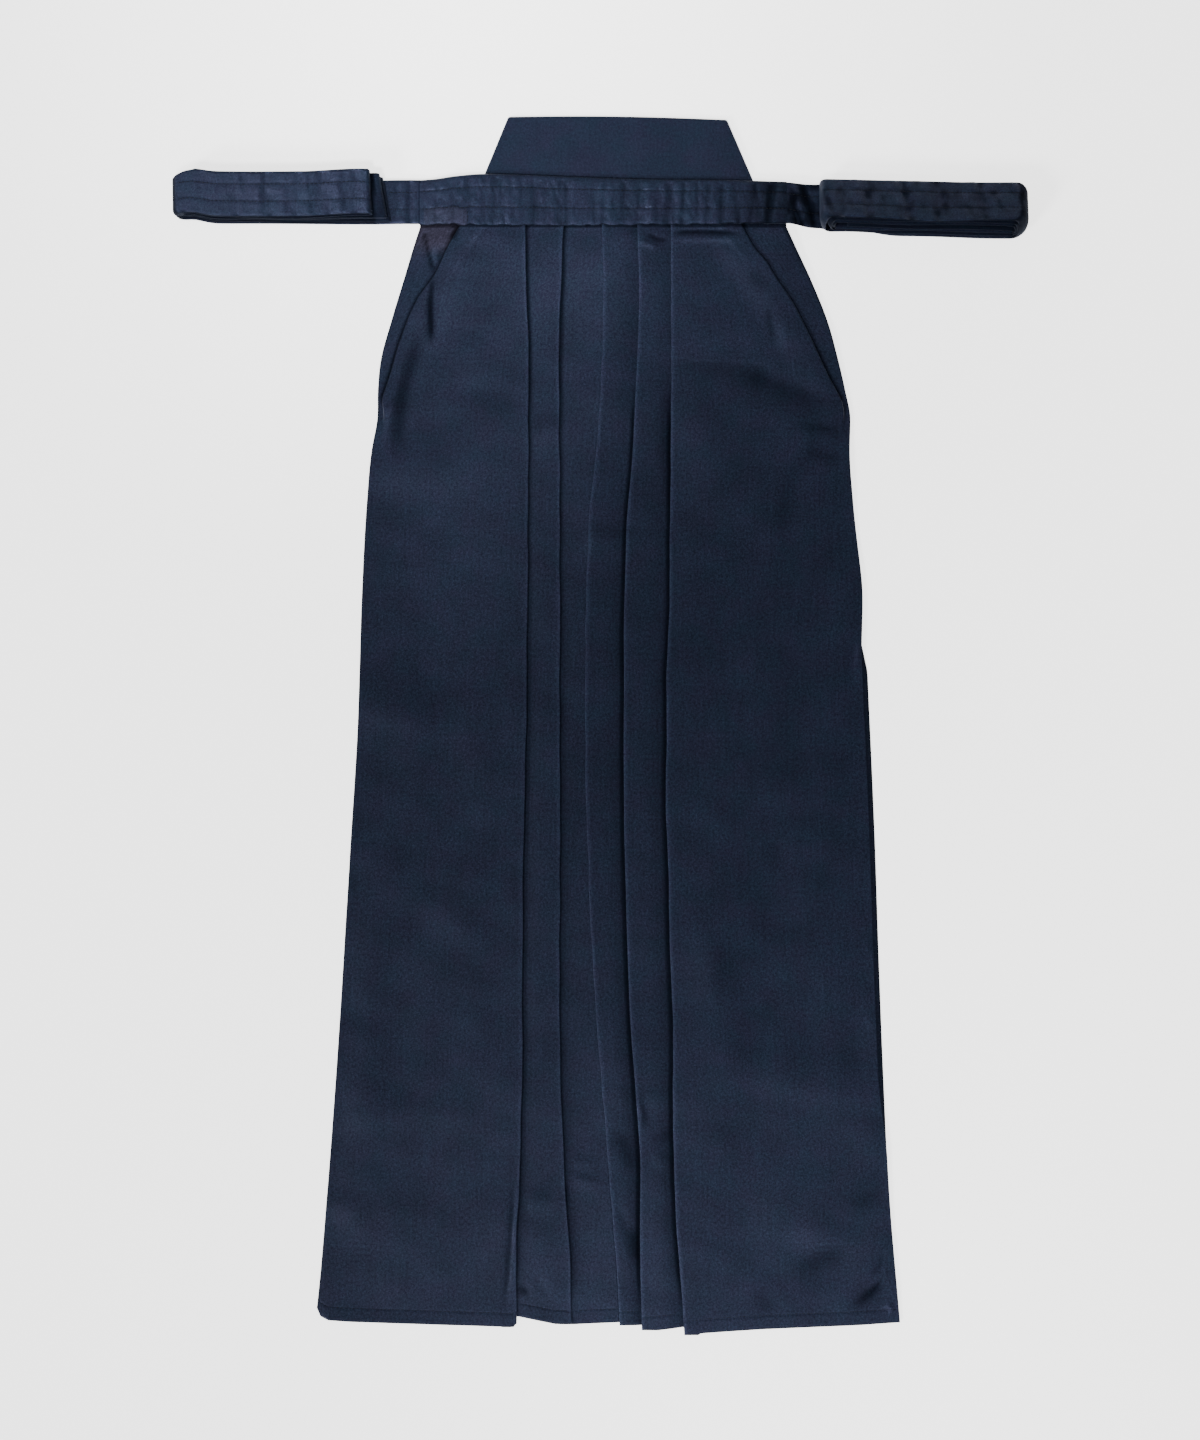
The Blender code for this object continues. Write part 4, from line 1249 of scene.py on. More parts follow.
# ---------------------------------------------------------------- back panels and gusset
@dataclass
class BackLeg:
    """A back panel, flat on the surface, with its share of the centre-back pleat."""

    side: Side
    plan: Plan
    relief: Relief
    top_y: float = 413.2
    hem_y: float = -482.0
    pleat_depth: float = 40.0
    ramp: float = 11.0
    ramp_start: float = 3.0
    most_lift: float = 0.3
    row_count: int = 150
    flat_columns: int = 44
    fold_columns: int = 6

    TOP_X = {Side.RIGHT: -113.0, Side.LEFT: 142.0}
    INSET = {Side.RIGHT: 2.0, Side.LEFT: 0.0}
    SEAM_GAP = 0.15
    FLAT_X = (56.0, 12.0)  # where the relief starts beside the centre pleat, and its ease
    EDGE_EASE = 8.0

    def edge(self, y: Array) -> Array:
        """X of the outer edge: slanting beside the slit, then on the side seam.

        Args:
            y: places along the panel.

        Returns:
            The edge at each place.
        """
        sign, inset = self.side.value, self.INSET[self.side]
        seam = self.plan.outline[self.side](y) - sign * inset
        end = float(self.plan.outline[self.side](SLIT_END_Y)) - sign * inset
        slant = end + (self.TOP_X[self.side] - end) * (y - SLIT_END_Y) / (self.top_y - SLIT_END_Y)
        return np.where(y <= SLIT_END_Y, seam, sign * np.minimum(sign * slant, sign * seam))

    def pleat(self) -> tuple[float, Array, Array]:
        """The centre-back pleat: the right panel folds round, the left one up and over it.

        Returns:
            X where the flat part ends, then X and height of the columns after it.
        """
        ground, second = CLOTH / 2, CLOTH / 2 + PLY
        if self.side is Side.RIGHT:
            start = -FOLD_REACH
            dx, dz = arc(PLY / 2, -90, 90, self.fold_columns + 1)
            parts = [(start + dx[1:], (ground + second) / 2 + dz[1:])]
        else:
            start = self.ramp + self.ramp_start
            climb = np.linspace(0.0, 1.0, 9)[1:]
            over = np.linspace(0.0, -self.pleat_depth, 8)[1:-1]
            dx, dz = arc(PLY / 2, 90, 270, self.fold_columns + 1)
            parts = [
                (start - self.ramp * climb, ground + 2 * PLY * smooth(climb)),
                (over, np.full(over.shape, second + PLY)),
                (-self.pleat_depth + dx, second + PLY / 2 + dz),
            ]
        last = parts[-1][0][-1]
        inner = -self.pleat_depth / 2 - self.side.value * self.SEAM_GAP
        under = last + (inner - last) * np.linspace(0.0, 1.0, 6)[1:]
        parts.append((under, np.full(under.shape, second)))
        x, z = (np.concatenate(values) for values in zip(*parts))
        return start, x, z

    def surface(self) -> Surface:
        """The panel's middle surface: flat, then the centre pleat.

        Returns:
            The surface, its columns from the outer edge in.
        """
        y = np.linspace(self.top_y, self.hem_y, self.row_count)[:, None]
        edge = self.edge(y)
        start, pleat_x, pleat_z = self.pleat()
        flat = edge + (start - edge) * np.linspace(0.0, 1.0, self.flat_columns)
        x = np.concatenate([flat, np.broadcast_to(pleat_x, (len(y), len(pleat_x)))], axis=1)
        z = np.concatenate([np.full(self.flat_columns, CLOTH / 2), pleat_z])
        beside, ease = self.FLAT_X
        free = np.clip((np.abs(x) - beside) / ease, 0.0, 1.0)
        inside = smooth(self.side.value * (edge - x) / self.EDGE_EASE) * free
        lift = np.clip(self.relief(x, y), 0.0, self.most_lift) * inside
        return Surface.of(np.stack(np.broadcast_arrays(x, y, z + lift), axis=-1))

    def build(self, finishes: Finishes) -> None:
        """Makes the panel, dressed.

        Args:
            finishes: the garment's materials.
        """
        word = self.side.word
        surface = self.surface()
        panel = cloth_wall(f"back_{word}_panel", surface, CLOTH)
        dress(panel, finishes.twill, "twill", f"back_{word}_leg")
        surface.cut()
        surface.area()


@dataclass
class Gusset:
    """The gusset between the legs: two layers joined by a fold, wider towards the hem."""

    x: float = 16.0
    top_width: float = 14.0
    hem_width: float = 34.0
    top_y: float = -76.0
    hem_y: float = -474.0
    row_count: int = 70

    def surface(self) -> Surface:
        """Lower layer out, half a turn, upper layer back.

        Returns:
            The gusset's middle surface.
        """
        share = np.linspace(0.0, 1.0, self.row_count)[:, None]
        y = self.top_y + (self.hem_y - self.top_y) * share
        width = self.top_width + (self.hem_width - self.top_width) * share
        lower = CLOTH / 2 + PLY
        dx, dz = arc(PLY / 2, -90, 90, 7)
        out = np.linspace(0.0, 1.0, 10)[:-1]
        x = np.concatenate([self.x + width * out, self.x + width + dx, self.x + width * out[::-1]], axis=1)
        flat = np.full(out.shape, lower)
        z = np.concatenate([flat, lower + PLY / 2 + dz, flat + PLY])
        return Surface.of(np.stack(np.broadcast_arrays(x, y, z), axis=-1))

    def build(self, finishes: Finishes) -> None:
        """Makes the gusset, dressed.

        Args:
            finishes: the garment's materials.
        """
        surface = self.surface()
        piece = cloth_wall("gusset_cloth", surface, CLOTH)
        dress(piece, finishes.twill, "twill", "gusset")
        surface.cut()
        surface.area()


# ---------------------------------------------------------------- puckers beside stitch rows
@dataclass(frozen=True)
class Puckers:
    """Short uneven ripples that run across a topstitched strip and die at its stitch rows.

    Each one is a ridge or a trough, exp(-(d / width)²), leaning a little, between two
    places across. Their spacing, height, width and lean are drawn from a seed.
    """

    seed: int
    length: float
    rows: tuple[float, ...]
    width: float
    spacing: float = 5.5
    layers: float = 2.6
    height: float = 0.36
    groove: float = 0.8
    puff: float = 0.2
    crinkle: float = 0.13
    marks: tuple[Fold, ...] = ()

    # Ranges that each ripple's values are drawn from
    OVERHANG = 2.0
    HEIGHTS = (0.4, 1.6)
    WIDTHS = (1.3, 4.2)
    LEANS = (-5.0, 5.0)
    CENTRES = (-0.5, 0.5)
    REACHES = (0.2, 0.8)
    # What of each is left on a stitch row, the cloth being held there
    HELD_RIPPLE = 0.45
    HELD_MARK = 0.35
    HELD_CRINKLE = 0.5
    EVEN_CRINKLE = 0.3  # what of the crinkle the smoothest cloth has
    END_EASE = 9.0

    def __call__(self, along: Array, across: Array) -> Array:
        """Height at each place.

        Args:
            along: distance along the strip.
            across: distance from its first edge.

        Returns:
            Puff between the rows, a groove on them, the ripples and a patchy crinkle. A
            mark is one more ripple, as its place along, height, lean and width.
        """
        draw = np.random.default_rng(self.seed)
        middle = across / self.width - 0.5
        nearest = np.min([np.abs(across - row) for row in self.rows], axis=0)
        held = 1.0 - pressed(nearest, self.groove)

        def free(least: float) -> Array:
            """1 between the rows, falling to the least on them."""
            return least + (1.0 - least) * held

        total = np.zeros(np.broadcast(along, across).shape)
        count = int(self.length / self.spacing * self.layers)
        places = draw.uniform(-self.OVERHANG, self.length + self.OVERHANG, count)
        heights = draw.uniform(-1.0, 1.0, count) * self.height * draw.uniform(*self.HEIGHTS, count)
        spans = (self.WIDTHS, self.LEANS, self.CENTRES, self.REACHES)
        shapes = (draw.uniform(*span, count) for span in spans)
        for place, height, broad, lean, centre, reach in zip(places, heights, *shapes):
            d = (along - place - lean * middle) / broad
            total += height * np.exp(-d * d - ((middle - centre) / reach) ** 2)
        total *= free(self.HELD_RIPPLE)
        for place, height, lean, broad in self.marks:
            total += height * pressed(along - place - lean * middle, broad) * free(self.HELD_MARK)
        crinkle = Waves(self.seed + 7, self.crinkle, 4.5, 17.0, 44, (0.8, 1.7))(along, across)
        uneven = smooth(Waves(self.seed + 8, 0.6, 25.0, 90.0)(along, across) + 0.6)
        patchy = self.EVEN_CRINKLE + (1.0 - self.EVEN_CRINKLE) * uneven
        ends = smooth(along / self.END_EASE) * smooth((self.length - along) / self.END_EASE)
        wrinkled = total + crinkle * patchy * free(self.HELD_CRINKLE)
        return wrinkled * ends + self.puff * (held - 0.5)


# ---------------------------------------------------------------- waistband
@dataclass
class Waistband:
    """The waistband: turned under at the top, its topstitched face down over the panels."""

    plan: Plan
    top: Track = Track(
        (-150.0, -136.0, -120.5, -96.5, -21.5, 40.5, 99.0, 153.5),
        (452.3, 453.2, 455.2, 457.0, 454.5, 452.5, 452.0, 450.5),
    )
    bottom: Track = Track(
        (-150.0, -120.5, -96.5, -21.5, 40.5, 99.0, 153.5),
        (415.0, 414.5, 414.0, 414.0, 414.8, 415.0, 414.5),
    )
    ends: Pair = (-150.2, 153.7)
    width: float = 40.0  # for which the rows and puckers are given
    fold: float = 1.6
    turned_under: float = 8.0
    return_lift: float = 0.6
    least: float = 1.8
    ease: float = 2.0
    rest: float = 0.25
    row_offsets: Pair = (14.4, 30.0)
    # painted shade along the stitch rows' grooves
    row_gloom: float = 0.27
    station_count: int = 360
    face_columns: int = 34
    seam_x: float = -25.2
    patch_x: Pair = (-147.0, -110.5)
    patch_height: float = 14.6
    patch_rise: float = 0.25
    patch_tint: float = 0.36
    twist_height: float = 8.5
    twist_from: float = 70.0
    # Painted shade over the end on the wearer's left and along the lower rim, and painted light and shade on
    # the ripples
    gloom: float = 0.55
    gloom_from: float = 92.0
    rim_gloom: float = 0.95
    contrast: float = 0.36
    marks: tuple[Fold, ...] = (
        (12.0, 0.3, 3.0, 3.5), (28.0, -0.3, -4.0, 4.0), (46.0, 0.3, 4.0, 4.5), (63.0, -0.3, 2.0, 3.0),
        (80.0, 0.25, -3.0, 4.0), (95.5, -0.35, 1.0, 2.2), (117.0, -0.4, 1.0, 2.5), (150.0, 0.25, 3.0, 4.5),
        (171.0, -0.25, -3.0, 3.5), (190.0, 0.3, 2.0, 4.0), (214.0, 0.35, 2.0, 3.2), (218.5, -0.5, 2.0, 1.8),
        (224.0, 0.35, -1.0, 2.4), (230.5, -0.55, -1.0, 1.9), (239.0, -0.5, 3.0, 2.4), (243.0, 0.3, 3.0, 2.2),
        (250.0, -0.8, 1.0, 2.1), (255.5, 0.4, 1.0, 2.2), (262.0, -0.5, -3.0, 2.3), (269.0, 0.3, 3.0, 2.6),
        (276.0, -0.6, 5.0, 2.6), (283.0, 0.4, -5.0, 2.2), (289.0, -0.7, 6.0, 2.6), (296.0, 0.5, 8.0, 2.4),
    )

    END_GAP = 0.12  # from each end to the next station
    EDGE_WAVES = ((41, 0.34, 5.0, 18.0), (42, 0.2, 30.0, 90.0))  # wander of the lower edge
    EDGE_EASE = 8.0
    EDGE_ROUND = (0.35, 1.6)  # how low the face starts at that edge, and over what width
    SEAM_STEP = (0.30, 1.2, 26.0, 30.0)  # height, width of the step, and where it ends
    SEAM_DIP = (0.45, 3.2, 1.8)  # depth, place before the seam, and width
    ROW_WIDTH = 1.1
    RIPPLE = 0.7  # height of a ripple that gets the full painted light on a ridge and shade in a trough

    def face(self, x: Array) -> Array:
        """Height of the middle of the face: over three layers, then over one.

        Args:
            x: places along the band.

        Returns:
            The height above the surface at each place.
        """
        value = np.zeros(x.shape)
        for side in Side:
            fold = np.abs(self.plan.tuck(side, WAIST_Y))
            edge = np.abs(self.plan.front_edge(side, WAIST_Y))
            beyond = smooth((np.abs(x) - fold - self.ease) / (edge - fold - 2 * self.ease))
            lying = LOOSE + CLOTH + 2 * PLY * (1.0 - beyond) + self.rest + STRAP / 2
            over = np.maximum(lying, self.return_lift + self.least)
            value = np.where(x * side.value >= 0, over, value)
        return self.plan.bed(x, WAIST_Y) + value

    def patch(self, x: Array, across: Array) -> Array:
        """1 on the stitched patch at the wearer's right end, which has square corners."""
        low, high = self.patch_x
        return smooth(x - low) * smooth(high - x) * smooth(self.patch_height - across)

    def relief(self, x: Array, across: Array, width: Array) -> Array:
        """Puckers, the seam's step and the stitched patch.

        Args:
            x: places along the band.
            across: distance from its lower edge.
            width: its width there.

        Returns:
            The height to add at each place.
        """
        puckers = Puckers(31, self.ends[1] - self.ends[0], self.row_offsets, self.width, marks=self.marks)
        total = puckers(x - self.ends[0], across / width * self.width)
        past = x - self.seam_x
        step, ease, start, fade = self.SEAM_STEP
        total += step * smooth(past / ease) * (1.0 - smooth((past - start) / fade))
        depth, before, reach = self.SEAM_DIP
        total -= depth * pressed(past + before, reach)
        return total + self.patch_rise * self.patch(x, across)

    def surface(self) -> Surface:
        """The J-shaped section at each station along the band.

        It goes up the face, round the fold by half an ellipse, and down the turned-under
        cloth. The lower edge stands up off the panel towards the wearer's left end.

        Returns:
            The band's middle surface.
        """
        first, last = self.ends
        x = np.linspace(first, last, self.station_count)[:, None]
        x = np.concatenate([x[:1], x[:1] + self.END_GAP, x[1:-1], x[-1:] - self.END_GAP, x[-1:]])
        edge = sum(Waves(*wave)(x, 0.0) for wave in self.EDGE_WAVES)
        edge = edge * smooth((x - first) / self.EDGE_EASE) * smooth((last - x) / self.EDGE_EASE)
        top, bottom = self.top(x) - STRAP / 2, self.bottom(x) + edge
        face, under = self.face(x), self.plan.bed(x, WAIST_Y) + self.return_lift
        middle, half = (face + under) / 2, (face - under) / 2
        turn = top - self.fold
        across = (turn - bottom) * np.linspace(0.0, 1.0, self.face_columns)
        low, reach = self.EDGE_ROUND
        rounding = low * pressed(across, reach)
        fade = smooth((turn - bottom - across) / 2.0 + 0.25)
        relief = self.relief(x, across, top - bottom) * fade
        angle = np.radians(np.linspace(90.0, -90.0, 9))[1:]
        back = turn - (self.turned_under - self.fold) * np.linspace(0.0, 1.0, 4)[1:]
        y = np.concatenate([bottom + across, turn + self.fold * np.cos(angle), back], axis=1)
        lying = np.broadcast_to(under, back.shape)
        z = np.concatenate([face + relief - rounding, middle + half * np.sin(angle), lying], axis=1)
        twist = self.twist_height * smooth((x - self.twist_from) / (last - self.twist_from))
        z = z + twist * (1.0 - np.clip((y - bottom) / (top - bottom), 0.0, 1.0))
        points = np.stack([np.broadcast_to(x, y.shape), y, z], axis=-1)
        tint, press = np.zeros(y.shape), np.zeros(y.shape)
        shown = slice(0, self.face_columns)
        tint[:, shown] = self.patch_tint * self.patch(x, across)
        # Painted shade over the end on the wearer's left, painted light and shade on the ripples, painted
        # shade along the stitch rows and on the lower rim
        press -= self.gloom * smooth((x - self.gloom_from) / (last - self.gloom_from))
        press[:, shown] += self.contrast * np.clip(relief / self.RIPPLE, -1.0, 1.0)
        for offset in self.row_offsets:
            away = across / (top - bottom) * self.width - offset
            press[:, shown] -= self.row_gloom * pressed(away, self.ROW_WIDTH)
        press[:, 0] = np.minimum(press[:, 0], -self.rim_gloom)
        return Surface.of(points, tint=tint, press=press)

    def stitch_lines(self, surface: Surface) -> list[Line]:
        """The two topstitched rows and the patch's inner side, just above the face.

        Args:
            surface: the band.

        Returns:
            A line for each.
        """
        points = surface.points[:, : self.face_columns]
        low, high = points[:, :1, 1], points[:, -1:, 1] + self.fold
        parts = []
        for offset in self.row_offsets:
            goal = low + (high - low) * offset / self.width
            column = np.argmin(np.abs(points[:, :, 1] - goal), axis=1)
            part = points[np.arange(len(points)), column].copy()
            part[:, 1] = goal[:, 0]
            parts.append(part)
        row = int(np.argmin(np.abs(points[:, 0, 0] - self.patch_x[1])))
        parts.append(points[row, points[row, :, 1] - points[row, 0, 1] < self.patch_height])
        lifted = [part + np.array([0.0, 0.0, STRAP / 2]) for part in parts]
        return [(part, upward(part)) for part in lifted]

    def build(self, finishes: Finishes) -> None:
        """Makes the band and its stitches, dressed.

        Args:
            finishes: the garment's materials.
        """
        surface = self.surface()
        band = cloth_wall("waistband_cloth", surface, STRAP)
        dress(band, finishes.strap, "strap_cloth", "waistband")
        stitches = Stitching().build("waistband_stitches", self.stitch_lines(surface))
        dress(stitches, finishes.thread, "strap_cloth")
        surface.cut()
        surface.area()


# ---------------------------------------------------------------- straps
@dataclass(frozen=True)
class Roll:
    """How a front strap is put away, by the level of each layer from the lowest up.

    order is the levels in the strap's own order, and near are the turns on the waist's
    near_drops and far_drops are how far the layer of each level lies towards the hem
    from the top one at the two ends. gloom is the painted shade in there, tilt is its rise
    across in degrees, and slant is how far the inner turns lean out towards the waist.
    rims, turn_gloom, dusk and shade are painted shade on the lower edges, the turns at both
    ends, the run and the top layer; dusk below 0 is painted light on the run. contrast is
    painted light on the ripples' ridges and painted shade in their troughs, and blotch makes
    patches of it darker and paler at random.
    """

    order: tuple[int, ...]
    near: tuple[float, ...]
    run_end: float
    free_end: float
    run_edge: float
    top_edge: float
    near_drops: tuple[float, ...]
    far_drops: tuple[float, ...]
    gloom: tuple[float, ...]
    tilt: float
    slope: float
    rim: float = 2.0
    rim_painted_shades: tuple[float, ...] = (0.0,) * 8
    turn_gloom: Pair = (0.0, 0.0)
    turn_level: float = 9.0
    turn_lean: float = 0.6
    contrast: float = 0.15
    round: float = 5.0
    near_round: float = 0.0
    chamfer: float = 3.0
    taper: float = 0.0
    hump: float = 0.0
    blotch: float = 0.0
    shade: float = 0.0
    run_painted_shade: float = 0.0
    slant: float = 0.0
    sag: float = 0.0
    raised_edge: bool = True

    # Where the drops change from those of the near end to those of the far one
    DROP_FROM = 198.0
    DROP_LENGTH = 50.0

    def by_level(self, values: tuple[float, ...], level: Array) -> Array:
        """A value given for each level, at any height between them."""
        return np.interp(level, np.arange(len(self.order)), values)

    def drop(self, level: Array, out: Array) -> Array:
        """How far towards the hem a layer lies, eased between the two ends."""
        near, far = self.by_level(self.near_drops, level), self.by_level(self.far_drops, level)
        return near + (far - near) * smooth((out - self.DROP_FROM) / self.DROP_LENGTH)


@dataclass(frozen=True)
class StrapPath:
    """A strap's centre line in the upright plane along it, as columns of one row a place.

    out is the distance from the middle and height the one above the surface. share is 0 at
    the waistband's height and 1 at the top layer's, level counts the layers from 0 at the
    lowest, and distance runs along the strap.
    """

    out: Array
    height: Array
    share: Array
    level: Array
    distance: Array

    @staticmethod
    def wound(runs: list[tuple[Array, Array]], step: float) -> tuple[Array, Array]:
        """Joins runs of (out, height) and puts a point about every step.

        Args:
            runs: arrays of places in order.
            step: wanted distance between points.

        Returns:
            out and height at even distances along the joined line.
        """
        out, height = (np.concatenate(values) for values in zip(*runs))
        length = running(np.hypot(np.diff(out), np.diff(height)))
        keep = np.concatenate([[True], np.diff(length) > 1e-6])
        at = np.linspace(0.0, length[-1], int(length[-1] / step))
        return np.interp(at, length[keep], out[keep]), np.interp(at, length[keep], height[keep])

    def past(self, start: float, length: float) -> Array:
        """0 up to the distance start out, easing to 1 over length."""
        return smooth((self.out - start) / length)


@dataclass
class FrontStrap:
    """One free end of the front strap: a run from the waistband, then a roll of 8 layers.

    twist is how far its lower edge stands up where it leaves the band.
    """

    side: Side
    roll: Roll
    band: Waistband
    width: float = 36.5
    ply: float = 1.65
    far: float = 346.0
    base: float = SOLID_CLOTH + 2 * SOLID_PLY + REST_GAP + STRAP / 2
    step: float = 1.9
    stitch_rows: Pair = (10.2, 24.0)
    # painted shade along the stitch rows' grooves
    row_gloom: float = 0.2
    face_columns: int = 19
    edge_points: int = 3
    turn_points: int = 15
    run_points: int = 24
    marks: tuple[Fold, ...] = ()
    seed: int = 51
    twist: float = 0.0
    twist_length: float = 32.0
    sewn_in: float = 0.5
    sunk: float = 0.08

    ROLL_CLEAR = 8.0  # from the run's end to where the strap counts as rolled
    TWIST_REACH = 60.0
    SWAY = (0.35, 60.0, 240.0)  # height, shortest and longest wave of the edge's wander
    HUMP = (336.0, 12.0)  # place and width
    SAG = (272.0, 28.0)
    TAPER = (312.0, 42.0)  # start and length
    FAR_TURN = (332.0, 12.0)
    NEAR_TURN = (186.0, 14.0)
    SLANT = (182.0, 14.0)
    CHAMFER_WIDTH = 4.0
    UNDER_TOP = 6.4  # level below which a layer is under the top one
    TOP_LEVEL = (6.2, 0.5)
    RUN_SHOWS = (4.0, 6.0)
    HIDDEN_RIPPLE = 0.16  # what the hidden layers have of the ripples
    RIM_PAINTED_SHADE = 0.75  # painted shade in the half circle of a lower edge
    DEEP_PAINTED_SHADE = 0.9  # painted shade between the lowest layers, inside their edges
    DEEP_LEVEL = 3.5
    BLOTCHES = (7.0, 22.0, 30)
    ROW_WIDTH = 1.1
    RIPPLE = 0.7  # height of a ripple that gets the full painted light on a ridge and shade in a trough

    @cached_property
    def path(self) -> StrapPath:
        """The run down from the band, then half turns between levels at the two ends.

        Returns:
            The strap's centre line.
        """
        roll = self.roll
        band_end = abs(self.band.ends[0] if self.side is Side.RIGHT else self.band.ends[1])
        start = float(self.band.face(np.array([self.side.value * (band_end - 0.2)]))[0]) - self.sunk
        band_end = band_end - self.sewn_in
        share = np.linspace(0.0, 1.0, self.run_points)
        down = start + (self.base - start) * smooth(share)
        runs = [(band_end + (roll.run_end - band_end) * share, down)]
        levels = [self.base + number * self.ply for number in roll.order]
        nears = list(roll.near)
        way = 1
        for now, following in zip(levels[:-1], levels[1:]):
            centre = self.far if way > 0 else nears.pop(0)
            begin, end = (-90, 90) if following > now else (90, -90)
            dx, dz = arc(abs(following - now) / 2, begin, end, self.turn_points)
            runs.append((centre + way * dx, (now + following) / 2 + dz))
            way = -way
        runs.append((np.array([roll.free_end]), np.array([levels[-1]])))
        out, height = StrapPath.wound(runs, self.step)
        top = self.base + (len(levels) - 1) * self.ply
        share = np.clip((height - start) / (top - start), 0.0, 1.0)
        distance = running(np.hypot(np.diff(out), np.diff(height)))
        values = (out, height, share, (height - self.base) / self.ply, distance)
        return StrapPath(*(value[:, None] for value in values))

    @cached_property
    def section(self) -> tuple[Array, Array, Array]:
        """The flat closed section: two faces, joined by half circles at both edges.

        Returns:
            Place across, from the upper edge towards the hem; offset off the centre line;
            and 1 on the upper face, -1 on the lower one and 0 on an edge.
        """
        half, count, edge = STRAP / 2, self.face_columns, self.edge_points
        flat = np.linspace(half, self.width - half, count)
        bend_x, bend_z = arc(half, 60, -60, edge)
        across = np.concatenate([flat, self.width - half + bend_x, flat[::-1], half - bend_x])
        offset = np.concatenate([np.full(count, half), bend_z, np.full(count, -half), -bend_z])
        return across, offset, np.repeat([1.0, 0.0, -1.0, 0.0], [count, edge, count, edge])

    @cached_property
    def run_length(self) -> float:
        """Length of the run between the waistband and the roll."""
        return self.roll.run_end - abs(self.band.ends[0])

    @cached_property
    def in_roll(self) -> Array:
        """Whether each place is in the roll."""
        return self.path.distance > self.run_length + self.ROLL_CLEAR

    @cached_property
    def on_top(self) -> Array:
        """1 on the top layer, easing to 0 below it."""
        return smooth((self.path.level - self.TOP_LEVEL[0]) / self.TOP_LEVEL[1])

    @cached_property
    def leaving(self) -> Array:
        """1 where the strap leaves the waistband, easing to 0 over twist_length."""
        path = self.path
        return (1.0 - path.past(path.out[0], self.twist_length)) * (path.distance < self.TWIST_REACH)

    @cached_property
    def shown(self) -> Array:
        """1 where a face shows: the upper one on the run, the lower one on the top layer."""
        face, (ahead, ease) = self.section[2], self.RUN_SHOWS
        on_run = smooth((self.run_length + ahead - self.path.distance) / ease)
        return np.where(face > 0, on_run, np.where(face < 0, self.on_top, 0.0))

    def drawn_in(self) -> Array:
        """How far the section is drawn in towards the waist at the two ends.

        The far turns are chamfered at their upper corner, and rounded at the lower one by
        round * (1 - √(1 - t²)), with t from 0 to 1 over the last stretch across. The near
        turns lean by slant, and are rounded the other way.

        Returns:
            The distance at each place and column.
        """
        roll, path, across, inside = self.roll, self.path, self.section[0], self.in_roll
        t = np.clip((across - self.width) / roll.round + 1.0, 0.0, 1.0)
        lower = roll.round * (1.0 - np.sqrt(1.0 - t * t * 0.98))
        corner = roll.chamfer * np.clip(1.0 - across / self.CHAMFER_WIDTH, 0.0, 1.0) ** 1.5 + lower
        near = (1.0 - path.past(*self.SLANT)) * inside * (path.level < self.UNDER_TOP)
        moved = path.past(*self.FAR_TURN) * corner + near * roll.slant * across / self.width
        begins = (1.0 - path.past(*self.NEAR_TURN)) * (path.level > 0.2) * inside
        return moved - roll.near_round * begins * lower / roll.round

    def points(self, offset: Array) -> Array:
        """The section carried along the path.

        Its upper edge follows the band, then the fan of the roll. It is tilted by the fan,
        and its normal is the path's own, tilted by the same angle.

        Args:
            offset: how far off the centre line each point is.

        Returns:
            Places by columns by XYZ.
        """
        roll, path, across = self.roll, self.path, self.section[0]
        inside, leaving = self.in_roll, self.leaving
        tangent = np.stack([np.gradient(path.out, axis=0), np.gradient(path.height, axis=0)])
        tangent /= np.linalg.norm(tangent, axis=0)
        sway = Waves(self.seed, *self.SWAY)(path.distance, 0.0) * smooth(path.distance / 30.0)
        top_edge = roll.top_edge - roll.drop(path.level, path.out)
        upper = roll.run_edge + (top_edge - roll.run_edge) * (1.0 - leaving)
        upper = upper - roll.slope * (path.out - path.out[0]) + sway
        upper = upper + roll.hump * pressed(path.out - self.HUMP[0], self.HUMP[1]) * inside
        tilt = np.radians(roll.tilt * path.share) + np.arcsin(self.twist / self.width) * leaving
        tall = tangent[0] * offset
        x = path.out - self.drawn_in() - tangent[1] * offset
        sag = roll.sag * pressed(path.out - self.SAG[0], self.SAG[1]) * self.on_top
        rise = roll.taper * path.past(*self.TAPER) ** 2 * inside
        y = upper - across * np.cos(tilt) + tall * np.sin(tilt) + (rise - sag) * (across / self.width) ** 2
        pivot = 0.0 if roll.raised_edge else self.width
        z = path.height + (across - pivot) * np.sin(tilt) + tall * np.cos(tilt)
        return np.stack([self.side.value * x, y, z], axis=-1)

    def recess_gloom(self, out: Array) -> Array:
        """Painted shade between the layers.

        Args:
            out: distance out of each point.

        Returns:
            The roll's own painted shade, or that painted on the lower edges and on the deep inner
            cloth where it is greater. The outer side of the top layer and the near turns stay clear.
        """
        roll, path, (across, _, face) = self.roll, self.path, self.section
        edges = roll.by_level(roll.rim_painted_shades, path.level) * smooth(across - self.width + roll.rim + 1.0)
        lower_edge = (face == 0) * (across > self.width / 2) * (path.level > 0.5)
        edges = np.maximum(edges * (path.level < 6.5), self.RIM_PAINTED_SHADE * lower_edge)
        inner = smooth((self.width - roll.rim - across) / 1.2)
        deep = self.DEEP_PAINTED_SHADE * inner * (path.level < self.DEEP_LEVEL)
        gloom = np.maximum(roll.by_level(roll.gloom, path.level), np.maximum(deep, edges))
        gloom = gloom * (1.0 - self.leaving) * self.in_roll
        clear = (1.0 - smooth((out - self.NEAR_TURN[0]) / 2.0)) * (path.level < self.UNDER_TOP)
        return gloom * (1.0 - clear) * (1.0 - self.on_top * (face < 0))

